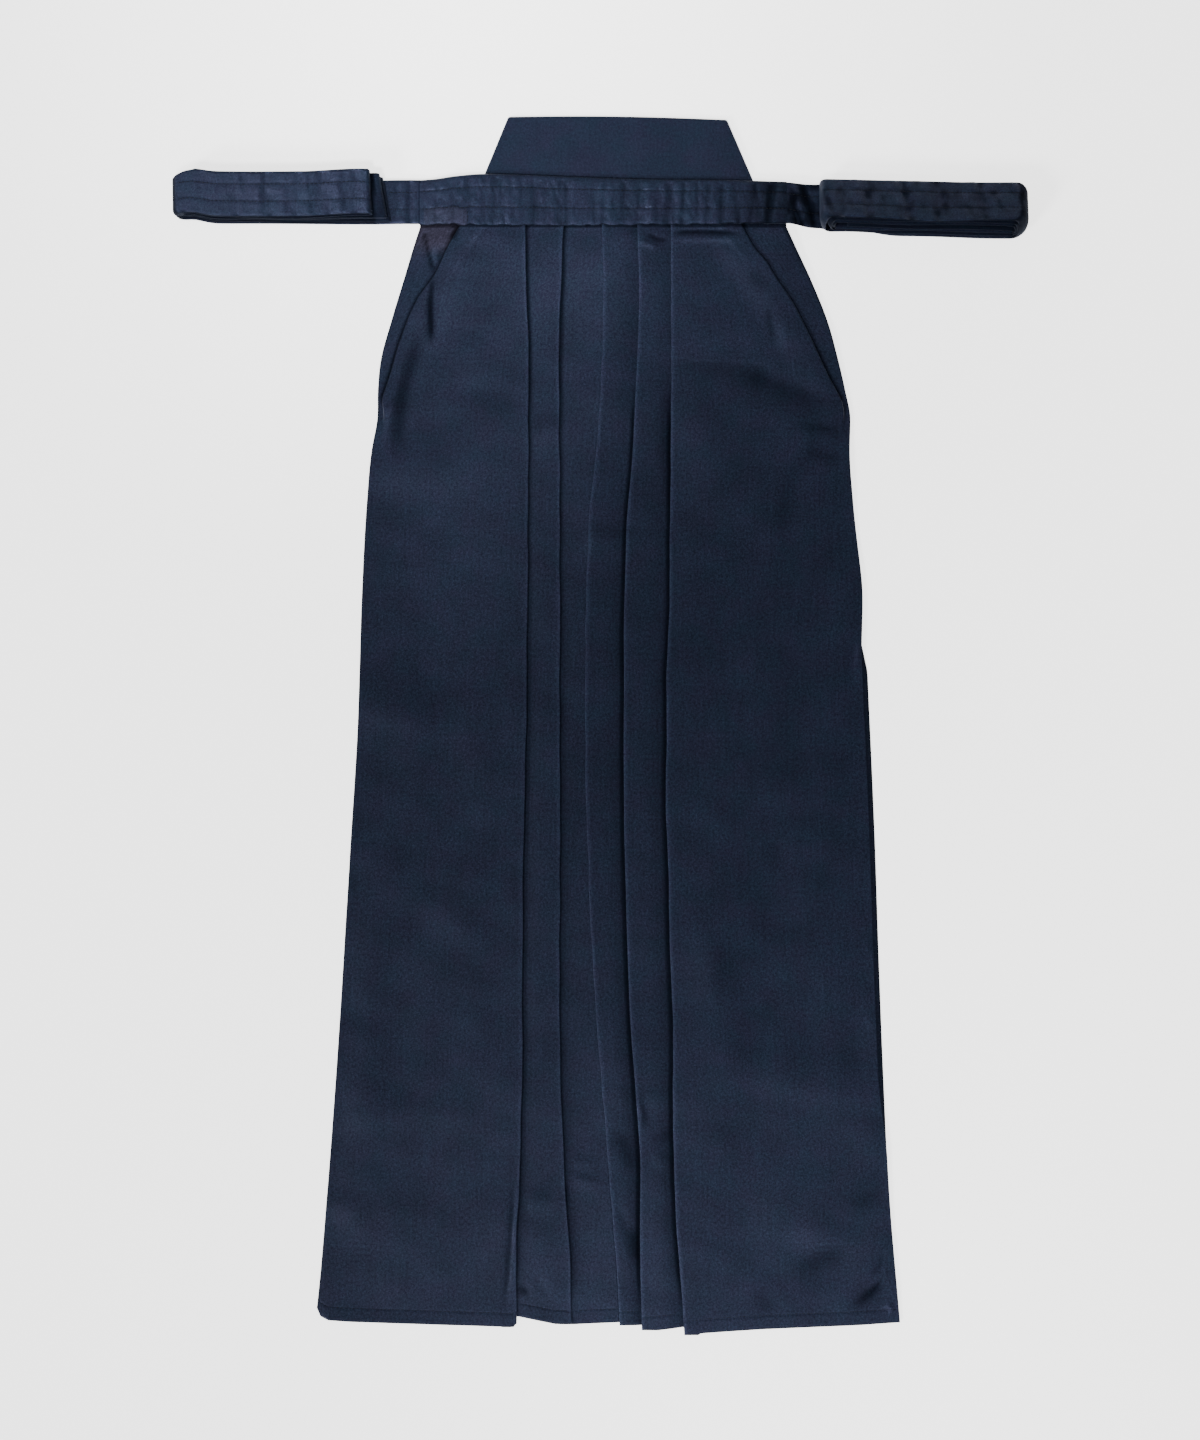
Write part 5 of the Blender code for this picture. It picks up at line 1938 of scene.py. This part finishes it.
    def press(self, out: Array, ripple: Array) -> Array:
        """Painted shade and light of the strap at each point.

        Args:
            out: distance out of each point.
            ripple: height of the ripples at each point.

        Returns:
            Values from -1 to 1: painted shade in the recesses, on the run, where it is painted light
            if the run's value is below 0, and on the turns at both ends; then, where the cloth shows,
            painted light and shade on the ripples, random blotches, and painted shade along the
            stitch rows.
        """
        roll, path, across = self.roll, self.path, self.section[0]
        # Painted shade between the layers, on the run by the band, painted light there where that value is
        # below 0, and on the turns at both ends
        press = -self.recess_gloom(out)
        press = press - roll.run_painted_shade * (1.0 - smooth((path.distance - 20.0) / 20.0))
        press = press - roll.turn_gloom[1] * path.past(343.0, 3.0)
        near = (1.0 - path.past(188.0, 5.0)) * self.in_roll * (path.level < roll.turn_level)
        press = press - roll.turn_gloom[0] * near * (1.0 + roll.turn_lean * (across / self.width - 0.5))
        blotch = Waves(self.seed + 3, roll.blotch, *self.BLOTCHES)(path.distance, across)
        rows = sum(pressed(across - row, self.ROW_WIDTH) for row in self.stitch_rows)
        # Where the cloth shows: painted light on the ripples' ridges and painted shade in their troughs,
        # random blotches, and painted shade along the stitch rows
        ripples = roll.contrast * np.clip(ripple / self.RIPPLE, -1.0, 1.0)
        press = press + (ripples + blotch - roll.shade - self.row_gloom * rows) * self.shown
        return np.clip(press, -1.0, 1.0)

    def surface(self) -> Surface:
        """The rippled section along the path.

        Returns:
            The closed surface, its cloth measured across the section and along the path.
        """
        path, (across, offset, face) = self.path, self.section
        length = path.distance[-1, 0]
        puckers = Puckers(self.seed + 1, length, self.stitch_rows, self.width, marks=self.marks)
        ripple = puckers(path.distance, np.clip(across, 0.0, self.width))
        offset = offset + face * ripple * (self.shown + self.HIDDEN_RIPPLE * (1.0 - self.shown))
        points = self.points(offset)
        place = np.broadcast_arrays(across * np.where(face < 0, -1.0, 1.0), path.distance)
        press = self.press(self.side.value * points[..., 0], ripple)
        return Surface(points, np.stack(place, axis=-1), np.zeros(press.shape), press)

    def stitch_lines(self, surface: Surface) -> list[Line]:
        """The stitch rows where a face shows: on the run's upper face and the top layer's.

        Args:
            surface: the strap.

        Returns:
            Up to one line for each row and face.
        """
        across, _, face = self.section
        lines = []
        for sign in (1.0, -1.0):
            columns = np.flatnonzero(face == sign)
            for goal in self.stitch_rows:
                column = columns[np.argmin(np.abs(across[columns] - goal))]
                seen = np.flatnonzero(self.shown[:, column] > 0.6)
                if len(seen) < 4:
                    continue
                rows = slice(seen[0], seen[-1] + 1)
                line = surface.points[rows, column]
                up = np.cross(np.gradient(line, axis=0), surface.points[rows, column + 1] - line)
                up /= np.linalg.norm(up, axis=1, keepdims=True)
                lines.append((line, up * np.sign(up[:, 2:].mean())))
        return lines

    def build(self, finishes: Finishes) -> None:
        """Makes the strap and its stitches, dressed.

        Args:
            finishes: the garment's materials.
        """
        word = self.side.word
        surface = self.surface()
        strap = closed_tube(f"front_strap_{word}_cloth", surface, self.side is Side.RIGHT)
        dress(strap, finishes.strap, "strap_cloth", f"front_strap_{word}")
        stitches = Stitching().build(f"front_strap_{word}_stitches", self.stitch_lines(surface))
        dress(stitches, finishes.thread, "strap_cloth")


@dataclass
class BackStrap:
    """A back strap from the end of the board out under the roll, folded to and fro.

    far and near are its turns. foot and head are the ends of the board's side, and the
    strap's first edge lies along it. shift is how far it steps up past the board.
    """

    side: Side
    far: float
    near: float
    upper_edge: float
    shift: float
    slope: float
    foot: Pair
    head: Pair
    width: float = 30.0
    flat_end: float = 6.0
    board_gap: float = 0.3
    step: float = 1.2
    run_points: int = 40
    turn_points: int = 7
    columns: int = 14
    lead_rows: int = 5

    SHIFT_FROM = (155.0, 40.0)

    def surface(self) -> Surface:
        """Middle surface: rows beside the board, then three layers with half turns.

        Returns:
            The surface, its rows along the strap.
        """
        low, middle, high = (CLOTH / 2 + number * PLY for number in range(3))
        start, count = abs(self.foot[0]) + self.flat_end, self.run_points
        dx, dz = arc(PLY / 2, -90, 90, self.turn_points)
        runs = [
            (np.linspace(start, self.far, count), np.full(count, low)),
            (self.far + dx, low + PLY / 2 + dz),
            (np.linspace(self.far, self.near, count)[1:], np.full(count - 1, middle)),
            (self.near - dx, middle + PLY / 2 + dz),
            (np.linspace(self.near, self.far - self.flat_end, count)[1:], np.full(count - 1, high)),
        ]
        out, z = (value[:, None] for value in StrapPath.wound(runs, self.step))
        place, length = self.SHIFT_FROM
        edge = self.upper_edge + self.shift * smooth((out - place) / length) - self.slope * (out - start)
        y = edge - np.linspace(0.0, self.width, self.columns)
        grid = np.stack(np.broadcast_arrays(self.side.value * out, y, z), axis=-1)
        slant = (self.head[0] - self.foot[0]) / (self.head[1] - self.foot[1])
        gap = self.side.value * self.board_gap * math.hypot(1.0, slant)
        beside = self.foot[0] + slant * (grid[0, :, 1] - self.foot[1]) + gap
        share = np.linspace(0.0, 1.0, self.lead_rows + 1)[:-1, None]
        lead = np.repeat(grid[:1], self.lead_rows, axis=0)
        lead[:, :, 0] = beside + (grid[0, :, 0] - beside) * share
        return Surface.of(np.concatenate([lead, grid]))

    def build(self, finishes: Finishes) -> None:
        """Makes the strap, dressed.

        Args:
            finishes: the garment's materials.
        """
        word = self.side.word
        surface = self.surface()
        strap = cloth_wall(f"back_strap_{word}_cloth", surface, CLOTH)
        dress(strap, finishes.strap, "strap_cloth", f"back_strap_{word}")
        surface.cut()
        surface.area()


# ---------------------------------------------------------------- back board
@dataclass
class BackBoard:
    """The stiff back board in its cloth cover: a rounded trapezoid with a low crown.

    corners run from the wearer's right end of its base anticlockwise, seen from above.
    """

    thick: float = 4.0
    corners: tuple[Pair, ...] = ((-114.6, 413.5), (142.8, 413.5), (104.4, 502.5), (-76.9, 505.0))
    corner_radius: float = 3.0
    edge: float = 1.4
    top_rise: float = 1.5
    crown: float = 0.25
    per_side: int = 70
    per_corner: int = 9
    rings: int = 26
    turns: int = 5

    TOP_SIDE = 2  # the corner that the bowed top edge follows
    MIDDLE_SHARE = 0.02  # size of the innermost ring
    UNEVEN = (61, 0.06, 12.0, 60.0)

    def outline(self) -> Array:
        """Points round the board: straight sides, rounded corners and a bowed top edge.

        A corner is the quadratic curve whose ends lie as far from it as a circle of
        corner_radius would touch its sides. The top edge rises by a half sine.

        Returns:
            N by XY, anticlockwise.
        """
        corners = np.array(self.corners)
        afters = np.roll(corners, -1, axis=0) - corners
        afters /= np.linalg.norm(afters, axis=1, keepdims=True)
        befores = -np.roll(afters, 1, axis=0)
        reaches = self.corner_radius / np.tan(np.arccos((befores * afters).sum(axis=1)) / 2)
        starts, ends = corners + befores * reaches[:, None], corners + afters * reaches[:, None]
        t = np.linspace(0.0, 1.0, self.per_corner)[:, None]
        run = np.linspace(0.0, 1.0, self.per_side + 2)[1:-1, None]
        parts, goals = [], np.roll(starts, -1, axis=0)
        for number, (start, corner, end, goal) in enumerate(zip(starts, corners, ends, goals)):
            parts.append(start * (1 - t) ** 2 + corner * 2 * t * (1 - t) + end * t * t)
            side = end + (goal - end) * run
            if number == self.TOP_SIDE:
                side[:, 1] += self.top_rise * np.sin(np.pi * run[:, 0])
            parts.append(side)
        return np.concatenate(parts)

    def surface(self) -> Surface:
        """Rings from the middle of the underside, round the edge, to the middle of the top.

        An inner ring is the rim drawn towards the board's middle. Near the edge the rings
        follow a quarter circle of radius edge, from the face to the side and back. The top
        is crowned by crown * (1 - share⁴) and a little uneven.

        Returns:
            The closed surface.
        """
        rim = self.outline()
        way = np.roll(rim, -1, axis=0) - np.roll(rim, 1, axis=0)
        inward = np.stack([-way[:, 1], way[:, 0]], axis=1)
        inward /= np.linalg.norm(inward, axis=1, keepdims=True)
        middle, inset = rim.mean(axis=0), rim + inward * self.edge
        shares = np.linspace(self.MIDDLE_SHARE, 1.0, self.rings)[:, None, None]
        angles = np.radians(np.linspace(0.0, 90.0, self.turns + 1))[1:, None, None]
        flat = middle + (inset - middle) * shares
        turn = rim + inward * self.edge * (1.0 - np.sin(angles))
        plan = np.concatenate([flat, turn, turn[::-1], flat[::-1]])
        low, rise = np.zeros(self.rings), self.edge * (1.0 - np.cos(angles[:, 0, 0]))
        crown = self.thick + self.crown * (1.0 - shares[:, 0, 0] ** 4)
        heights = np.concatenate([low, rise, self.thick - rise[::-1], crown[::-1]])
        z = np.repeat(heights[:, None], len(rim), axis=1)
        z[-self.rings :] += Waves(*self.UNEVEN)(*np.moveaxis(plan[-self.rings :], -1, 0))
        points = np.concatenate([plan, z[..., None]], axis=-1)
        blank = np.zeros(z.shape)
        return Surface(points, plan, blank, blank)

    def build(self, finishes: Finishes) -> None:
        """Makes the covered board, dressed.

        Args:
            finishes: the garment's materials.
        """
        board = closed_tube("back_board_cover", self.surface(), False)
        dress(board, finishes.board, "board_cloth", "koshi_ita")


# ---------------------------------------------------------------- studio
@dataclass
class Studio:
    """Pale paper, broad soft lights, one more at each end, and a camera straight above."""

    centre: Pair = (-0.83, 4.98)
    camera_height: float = 2200.0
    view_length: float = 1195.2
    sensor: float = 24.0
    paper_size: float = 12000.0
    paper_drop: float = 0.2
    world: float = 0.36
    spot_softness: float = 0.25

    # Strength, degrees from straight above, bearing of where it stands, and width in degrees
    SUNS = {"key_light": (3.3, 60.0, 222.0, 14.0), "fill_light": (0.4, 30.0, 120.0, 60.0)}
    # Watts, width of the beam in degrees, place, and the middle of its beam on the paper
    SPOTS = {
        "waist_light": (420.0, 19.0, (-300.0, -500.0, 2000.0), (-110.0, 650.0, 0.0)),
        "hem_light": (100.0, 24.0, (100.0, -1500.0, 2000.0), (150.0, -560.0, 0.0)),
    }

    def lights(self) -> None:
        """Sets the distant soft lights, and the soft-edged ones on the garment's two ends."""
        for name, (strength, lean, bearing, spread) in self.SUNS.items():
            sun = bpy.data.lights.new(name, "SUN")
            sun.energy = strength
            sun.angle = math.radians(spread)
            link(name, sun).rotation_euler = (0.0, math.radians(lean), math.radians(bearing))
        for name, (power, beam, place, aim) in self.SPOTS.items():
            spot = bpy.data.lights.new(name, "SPOT")
            spot.energy = power
            spot.spot_size = math.radians(beam)
            spot.spot_blend = 1.0
            spot.shadow_soft_size = self.spot_softness
            made = link(name, spot)
            made.location = Vector(place) * MM
            made.rotation_euler = (Vector(aim) - Vector(place)).to_track_quat("-Z", "Y").to_euler()

    def camera(self) -> None:
        """Sets a camera that sees view_length of the surface from its top edge to its bottom."""
        lens = bpy.data.cameras.new("camera")
        lens.sensor_fit = "VERTICAL"
        lens.sensor_height = self.sensor
        lens.lens = self.sensor * self.camera_height / self.view_length
        lens.clip_end = 50.0
        camera = link("camera", lens)
        camera.location = Vector((*self.centre, self.camera_height)) * MM
        bpy.context.scene.camera = camera

    def build(self, finishes: Finishes) -> None:
        """Sets the paper, the lights, the world and the camera.

        Args:
            finishes: the materials, the paper's among them.
        """
        square = np.array([[-1.0, -1.0, 0.0], [1.0, -1.0, 0.0], [1.0, 1.0, 0.0], [-1.0, 1.0, 0.0]])
        corners = square * self.paper_size / 2 - np.array([0.0, 0.0, self.paper_drop])
        paper = make_mesh("paper", corners, [np.arange(4, dtype=np.int32)[None]])
        paper.data.materials.append(finishes.paper)
        self.lights()
        world = bpy.data.worlds.new("studio")
        world.use_nodes = True
        light = world.node_tree.nodes["Background"].inputs
        light["Color"].default_value = (1.0, 1.0, 1.0, 1.0)
        light["Strength"].default_value = self.world
        bpy.context.scene.world = world
        self.camera()


# ---------------------------------------------------------------- the creases of this garment
def front_relief() -> Relief:
    """Creases of the front, from the waist down, the wearer's right before the left.

    Both panels share it, so that their layers sink and rise together in the middle. A row
    is a crease's path, height, width, fade, dark and broad. dark is painted shade along the
    crease, and painted light where negative.

    Returns:
        The relief.
    """
    # A row's fifth number paints shade along its crease, and paints light where it is negative
    right = (
        (((-152, 336), (-163, 304), (-177, 254), (-183, 210)), 0.8, 6.5, 0.45),
        (((-138.4, 376), (-141.4, 352), (-140.6, 314)), -0.4, 2.2, 0.25, 0.62),
        (((-141, 362), (-143, 312)), -0.2, 6.0, 0.35, 0.22),
        (((-140, 410), (-137, 390)), 0.4, 2.4, 0.35, -0.12),
        (((-147, 412), (-143.4, 394), (-138.5, 375)), -0.7, 2.0, 0.15, 0.72),
        (((-143.4, 408), (-139.8, 392), (-136, 381)), 0.5, 1.7, 0.25, -0.2),
        (((-131, 400), (-137, 379)), -0.6, 1.7, 0.4, 0.4), (((-133, 410), (-131, 396)), 0.35, 2.4),
        (((-118, 415), (-121, 408), (-124, 402)), -0.8, 2.8, 0.3, 0.75),
        (((-148, 338), (-155, 308), (-165, 272), (-170, 212)), -0.6, 6.5, 0.28, 0.42),
        (((-110, 332), (-101, 272)), 0.35, 13.0), (((-106, 385), (-102, 325)), 0.0, 34.0, 0.3, 0.17),
        (((-118, 250), (-120, 150), (-122, 20)), 0.0, 48.0, 0.25, -0.34),
        (((-92, 280), (-94, 140)), 0.6, 18.0),
        (((-240, 104), (-150, 101), (-45, 99)), -1.3, 26.0, 0.2, 0.0, 40.0),
        (((-235, 196), (-170, 214), (-95, 206)), 0.6, 18.0),
        (((-225, 20), (-150, 6), (-80, 12)), 0.7, 22.0),
        (((-232, -70), (-160, -84), (-90, -78)), -0.6, 24.0),
        (((-235, -170), (-150, -150), (-80, -160)), 0.6, 26.0),
        (((-219, -323.7), (-200, -324.5)), -0.25, 1.2),
        (((-240, -332), (-160, -318), (-80, -330)), 0.5, 11.0), (((-177, -430), (-179, -482)), 0.12, 3.4),
        (((-165, -432), (-166, -480)), 0.12, 3.8), (((-70, -464), (-58, -472)), -0.4, 3.4, 0.4, 0.4),
        (((-235, -405), (-190, -392), (-150, -410)), 0.5, 14.0),
        (((-35, -362), (-46, -374), (-57, -386)), -0.5, 3.5), (((-66, -396), (-34, -392)), 0.55, 9.0),
        (((-56, -452), (-44, -474)), -0.4, 5.0), (((-30, -358), (0, -366)), 0.4, 4.0),
        (((-28, -374), (2, -380)), 0.4, 4.0),
        (((-68.0, -372), (-72.0, -430), (-77.0, -492)), 0.25, 1.7, 0.15, -0.25),
        (((-71.0, -366), (-75.2, -430), (-80.5, -492)), -0.4, 3.0, 0.3, 0.34),
        (((-60, 240), (-32, 252)), 0.4, 7.0), (((-60, 40), (-30, 46)), -0.4, 8.0),
    )
    left = (
        (((52, 408.5), (84, 409), (120, 407.5)), -0.6, 1.9, 0.3, 0.8),
        (((50, 403), (84, 404), (122, 403)), 0.4, 3.0),
        (((36, 409), (46, 403), (58, 402)), -0.4, 2.2, 0.3, 0.6), (((30, 402), (50, 396)), 0.4, 3.0),
        (((124, 382), (137, 357)), -0.25, 7.0, 0.4, 0.25),
        (((137, 352), (140, 335), (145, 314)), -0.25, 3.0, 0.35, 0.35),
        (((150, 340), (153, 308)), 0.2, 4.0, 0.35, -0.25),
        (((56, 300), (100, 299), (150, 294)), -0.3, 3.5, 0.25, 0.22, 14.0),
        (((104, 291), (140, 284), (172, 272), (204, 262)), -0.5, 9.0, 0.3, 0.38),
        (((62, 318), (110, 322), (152, 314)), 0.3, 10.0, 0.3, -0.2),
        (((160, 250), (184, 247), (204, 241)), -0.4, 3.6, 0.3, 0.4),
        (((168, 228), (204, 220)), -0.4, 4.5, 0.3, 0.35), (((169, 301.5), (171, 295)), -0.3, 1.0),
        (((60, 246), (108, 258), (148, 254), (205, 230)), 0.8, 16.0, 0.25, 0.0, 50.0),
        (((206, 240), (192, 242), (176, 243)), 0.6, 2.6),
        (((206, 236), (183, 225), (163, 207), (157, 164), (160, 100)), -0.8, 8.0, 0.25),
        (((-14, 161), (24, 158), (60, 160)), 0.9, 2.5, 0.12, 0.0, 16.0),
        (((53, 312), (53.5, 250), (53, 165)), -0.2, 4.5, 0.35, 0.34),
        (((70, 196), (120, 176), (160, 188)), 0.5, 16.0), (((216, 72), (212, 52), (208, 36)), 0.45, 2.2),
        (((211, 74), (209, 20)), -0.6, 5.0), (((64, 60), (140, 84), (214, 66)), -0.6, 26.0),
        (((62, -40), (130, -24), (220, -44)), 0.7, 30.0), (((146, -90), (149, -128)), -0.6, 8.0),
        (((216, -158), (229, -163)), -0.35, 2.4), (((218, -182), (229, -190)), 0.35, 3.0),
        (((217, -212), (229, -216)), -0.35, 2.6), (((218, -240), (230, -250)), 0.35, 3.2),
        (((174, -236), (175, -260)), -0.6, 9.0), (((90, -165), (92, -230)), 0.6, 12.0),
        (((70, -300), (150, -286), (225, -300)), 0.6, 20.0), (((221, -323), (232, -324.5)), -0.3, 1.2),
        (((28, -306), (34, -322), (31, -336)), 0.6, 3.0), (((4, -312), (58, -306)), 0.5, 8.0),
        (((12, -392), (28, -429)), -0.3, 4.5), (((40, -352), (62, -368)), 0.4, 5.0),
        (((150, -438), (192, -404), (236, -374)), 0.7, 13.0),
        (((160, -466), (200, -444), (240, -416)), -0.6, 12.0),
        (((150, -456), (180, -444), (212, -430)), -0.25, 9.0, 0.4, 0.27),
        (((204, -400), (224, -390), (240, -386)), -0.3, 7.5, 0.4, 0.26),
        (((124, -460), (134, -474), (146, -490)), -0.25, 7.5, 0.4, 0.2),
        (((204, -484), (220, -473), (240, -458)), -0.4, 5.5, 0.4, 0.42),
        (((214, -478), (226, -467), (236, -456)), -0.2, 1.6, 0.4, 0.3),
        (((225, -459), (237, -434)), -0.35, 2.2, 0.4, 0.34),
        (((236, -478), (243, -486)), 0.4, 2.4, 0.35, -0.5),
        (((25, -412), (30, -446)), -0.3, 5.0, 0.35, 0.3),
        (((10, -330), (20, -350), (29, -372)), -0.3, 6.0, 0.35, 0.3),
        (((38, -342), (62, -338)), -0.3, 6.0, 0.35, 0.25),
        (((-31, -378), (-30, -398)), -0.3, 3.0, 0.4, 0.4),
        (((88, -430), (118, -448), (150, -476)), 0.3, 12.0),
    )
    waves = (Waves(1, 0.42, 70.0, 220.0), Waves(2, 0.20, 22.0, 80.0, 40, (1.7, 1.0)))
    return Relief(tuple(Crease(*row) for row in right + left), waves)


def back_relief(seed: int) -> Relief:
    """Shallow pressed-in creases of a back panel."""
    return Relief((), (Waves(seed, 0.16, 18.0, 120.0),))


# Folds across the straps. The first few lie on the run from the waistband, and the rest on
# the top layer.
RIGHT_FOLDS = (
    (4.2, 0.6, 0.5, 1.8), (8.6, -1.0, 1.0, 2.4), (14.0, 0.3, -1.0, 2.4), (20.0, -0.2, 2.0, 2.4),
    (222.0, -0.2, 2.0, 4.0), (246.0, 0.2, -3.0, 6.0), (266.0, -0.25, -3.0, 4.5), (278.0, 0.2, 3.0, 5.0),
    (289.0, -0.3, 4.0, 4.0), (301.0, 0.2, -4.0, 5.0), (312.0, -0.35, -7.0, 4.0), (324.0, 0.25, -6.0, 5.0),
    (337.0, -0.3, 3.0, 4.5), (347.0, 0.5, 2.0, 4.0), (360.0, -0.4, -2.0, 3.5),
)
LEFT_FOLDS = (
    (5.0, -1.2, 12.0, 3.0), (12.0, 1.1, 12.0, 2.6), (19.0, -1.0, 10.0, 3.0), (27.0, 0.6, -6.0, 3.0),
    (226.0, 0.4, 4.0, 6.0), (243.0, -0.35, -5.0, 5.0), (258.0, 0.35, 6.0, 6.0), (275.0, -0.45, 8.0, 5.0),
    (292.0, 0.5, -8.0, 6.0), (305.0, -1.1, -8.0, 3.6), (316.0, 0.4, -6.0, 5.0), (336.0, -0.35, 4.0, 5.0),
    (345.0, 0.6, -4.0, 4.0), (358.0, -0.4, 3.0, 4.0),
)

# What the right front panel has of its own, among it painted shade at the pleats' feet, beside the tuck's
# edge and on its fold
RIGHT_FRONT = {"worn": 0.8, "foot": (0.6, 0.4), "tuck_gloom": 0.95, "tuck_edge_shade": -0.8, "corner": 3.0}

# How the two straps are put away, with the painted shade and light of their layers, edges, turns and runs
RIGHT_ROLL = Roll(
    order=(0, 7, 6, 1, 2, 5, 4, 3),
    near=(191.5, 181.5, 184.0),
    run_end=179.0,
    free_end=185.0,
    run_edge=452.3,
    top_edge=458.6,
    near_drops=(6.1, 5.8, 4.4, 3.6, 3.4, 3.0, 1.2, 0.0),
    far_drops=(6.1, 5.8, 4.6, 4.2, 4.0, 3.6, 3.2, 2.6),
    gloom=(0.0, 0.0, 0.9, 0.9, 0.9, 0.9, 0.8, 0.0),
    tilt=-7.0,
    slope=0.0,
    slant=6.5,
    raised_edge=False,
    run_painted_shade=-0.3,
    rim_painted_shades=(0.3, 0.85, 0.8, 0.5, 0.85, 0.6, 0.85, 0.0),
    chamfer=7.0,
    taper=2.6,
    hump=2.2,
    contrast=0.06,
    turn_gloom=(0.42, 0.0),
    turn_level=6.2,
)
LEFT_ROLL = Roll(
    order=(0, 7, 1, 6, 2, 5, 3, 4),
    near=(185.5, 189.5, 190.5),
    run_end=186.0,
    free_end=203.0,
    run_edge=450.0,
    top_edge=451.6,
    near_drops=(2.2, 5.4, 5.0, 4.4, 3.8, 2.2, 1.0, 0.0),
    far_drops=(7.8, 7.2, 6.6, 5.0, 4.2, 2.4, 1.0, 0.0),
    gloom=(0.0, 0.0, 0.5, 0.1, 0.6, 0.3, 0.5, 0.1),
    tilt=22.0,
    slope=0.022,
    run_painted_shade=0.55,
    sag=2.3,
    turn_gloom=(0.26, 0.55),
    turn_lean=1.3,
    round=9.0,
    near_round=5.0,
    contrast=0.3,
    blotch=0.2,
    shade=0.04,
)


def main() -> None:
    """Builds every piece in order, from the surface up."""
    logging.basicConfig(level=logging.INFO, format="%(name)s: %(message)s")
    plan, relief, board = Plan(), front_relief(), BackBoard()
    band = Waistband(plan)
    right, left, left_head, right_head = board.corners
    pieces = (
        Studio(),
        *(BackLeg(side, plan, back_relief(20 + side.value)) for side in Side),
        Gusset(),
        board,
        # A front panel's foot values are painted shade at its pleats' feet
        FrontLeg(Side.RIGHT, plan, relief, ("p1", "p2"), **RIGHT_FRONT),
        FrontLeg(Side.LEFT, plan, relief, ("p5", "p4", "p3"), foot=(0.2, 0.85)),
        band,
        BackStrap(Side.RIGHT, 338.0, 184.0, 450.0, 0.0, 0.0, right, right_head),
        BackStrap(Side.LEFT, 340.0, 192.0, 448.0, -6.0, 0.018, left, left_head),
        FrontStrap(Side.RIGHT, RIGHT_ROLL, band, far=347.2, marks=RIGHT_FOLDS),
        FrontStrap(Side.LEFT, LEFT_ROLL, band, marks=LEFT_FOLDS, seed=71, twist=band.twist_height),
    )
    finishes = make_finishes()
    for piece in pieces:
        piece.build(finishes)
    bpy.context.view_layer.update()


if __name__ == "__main__":
    main()
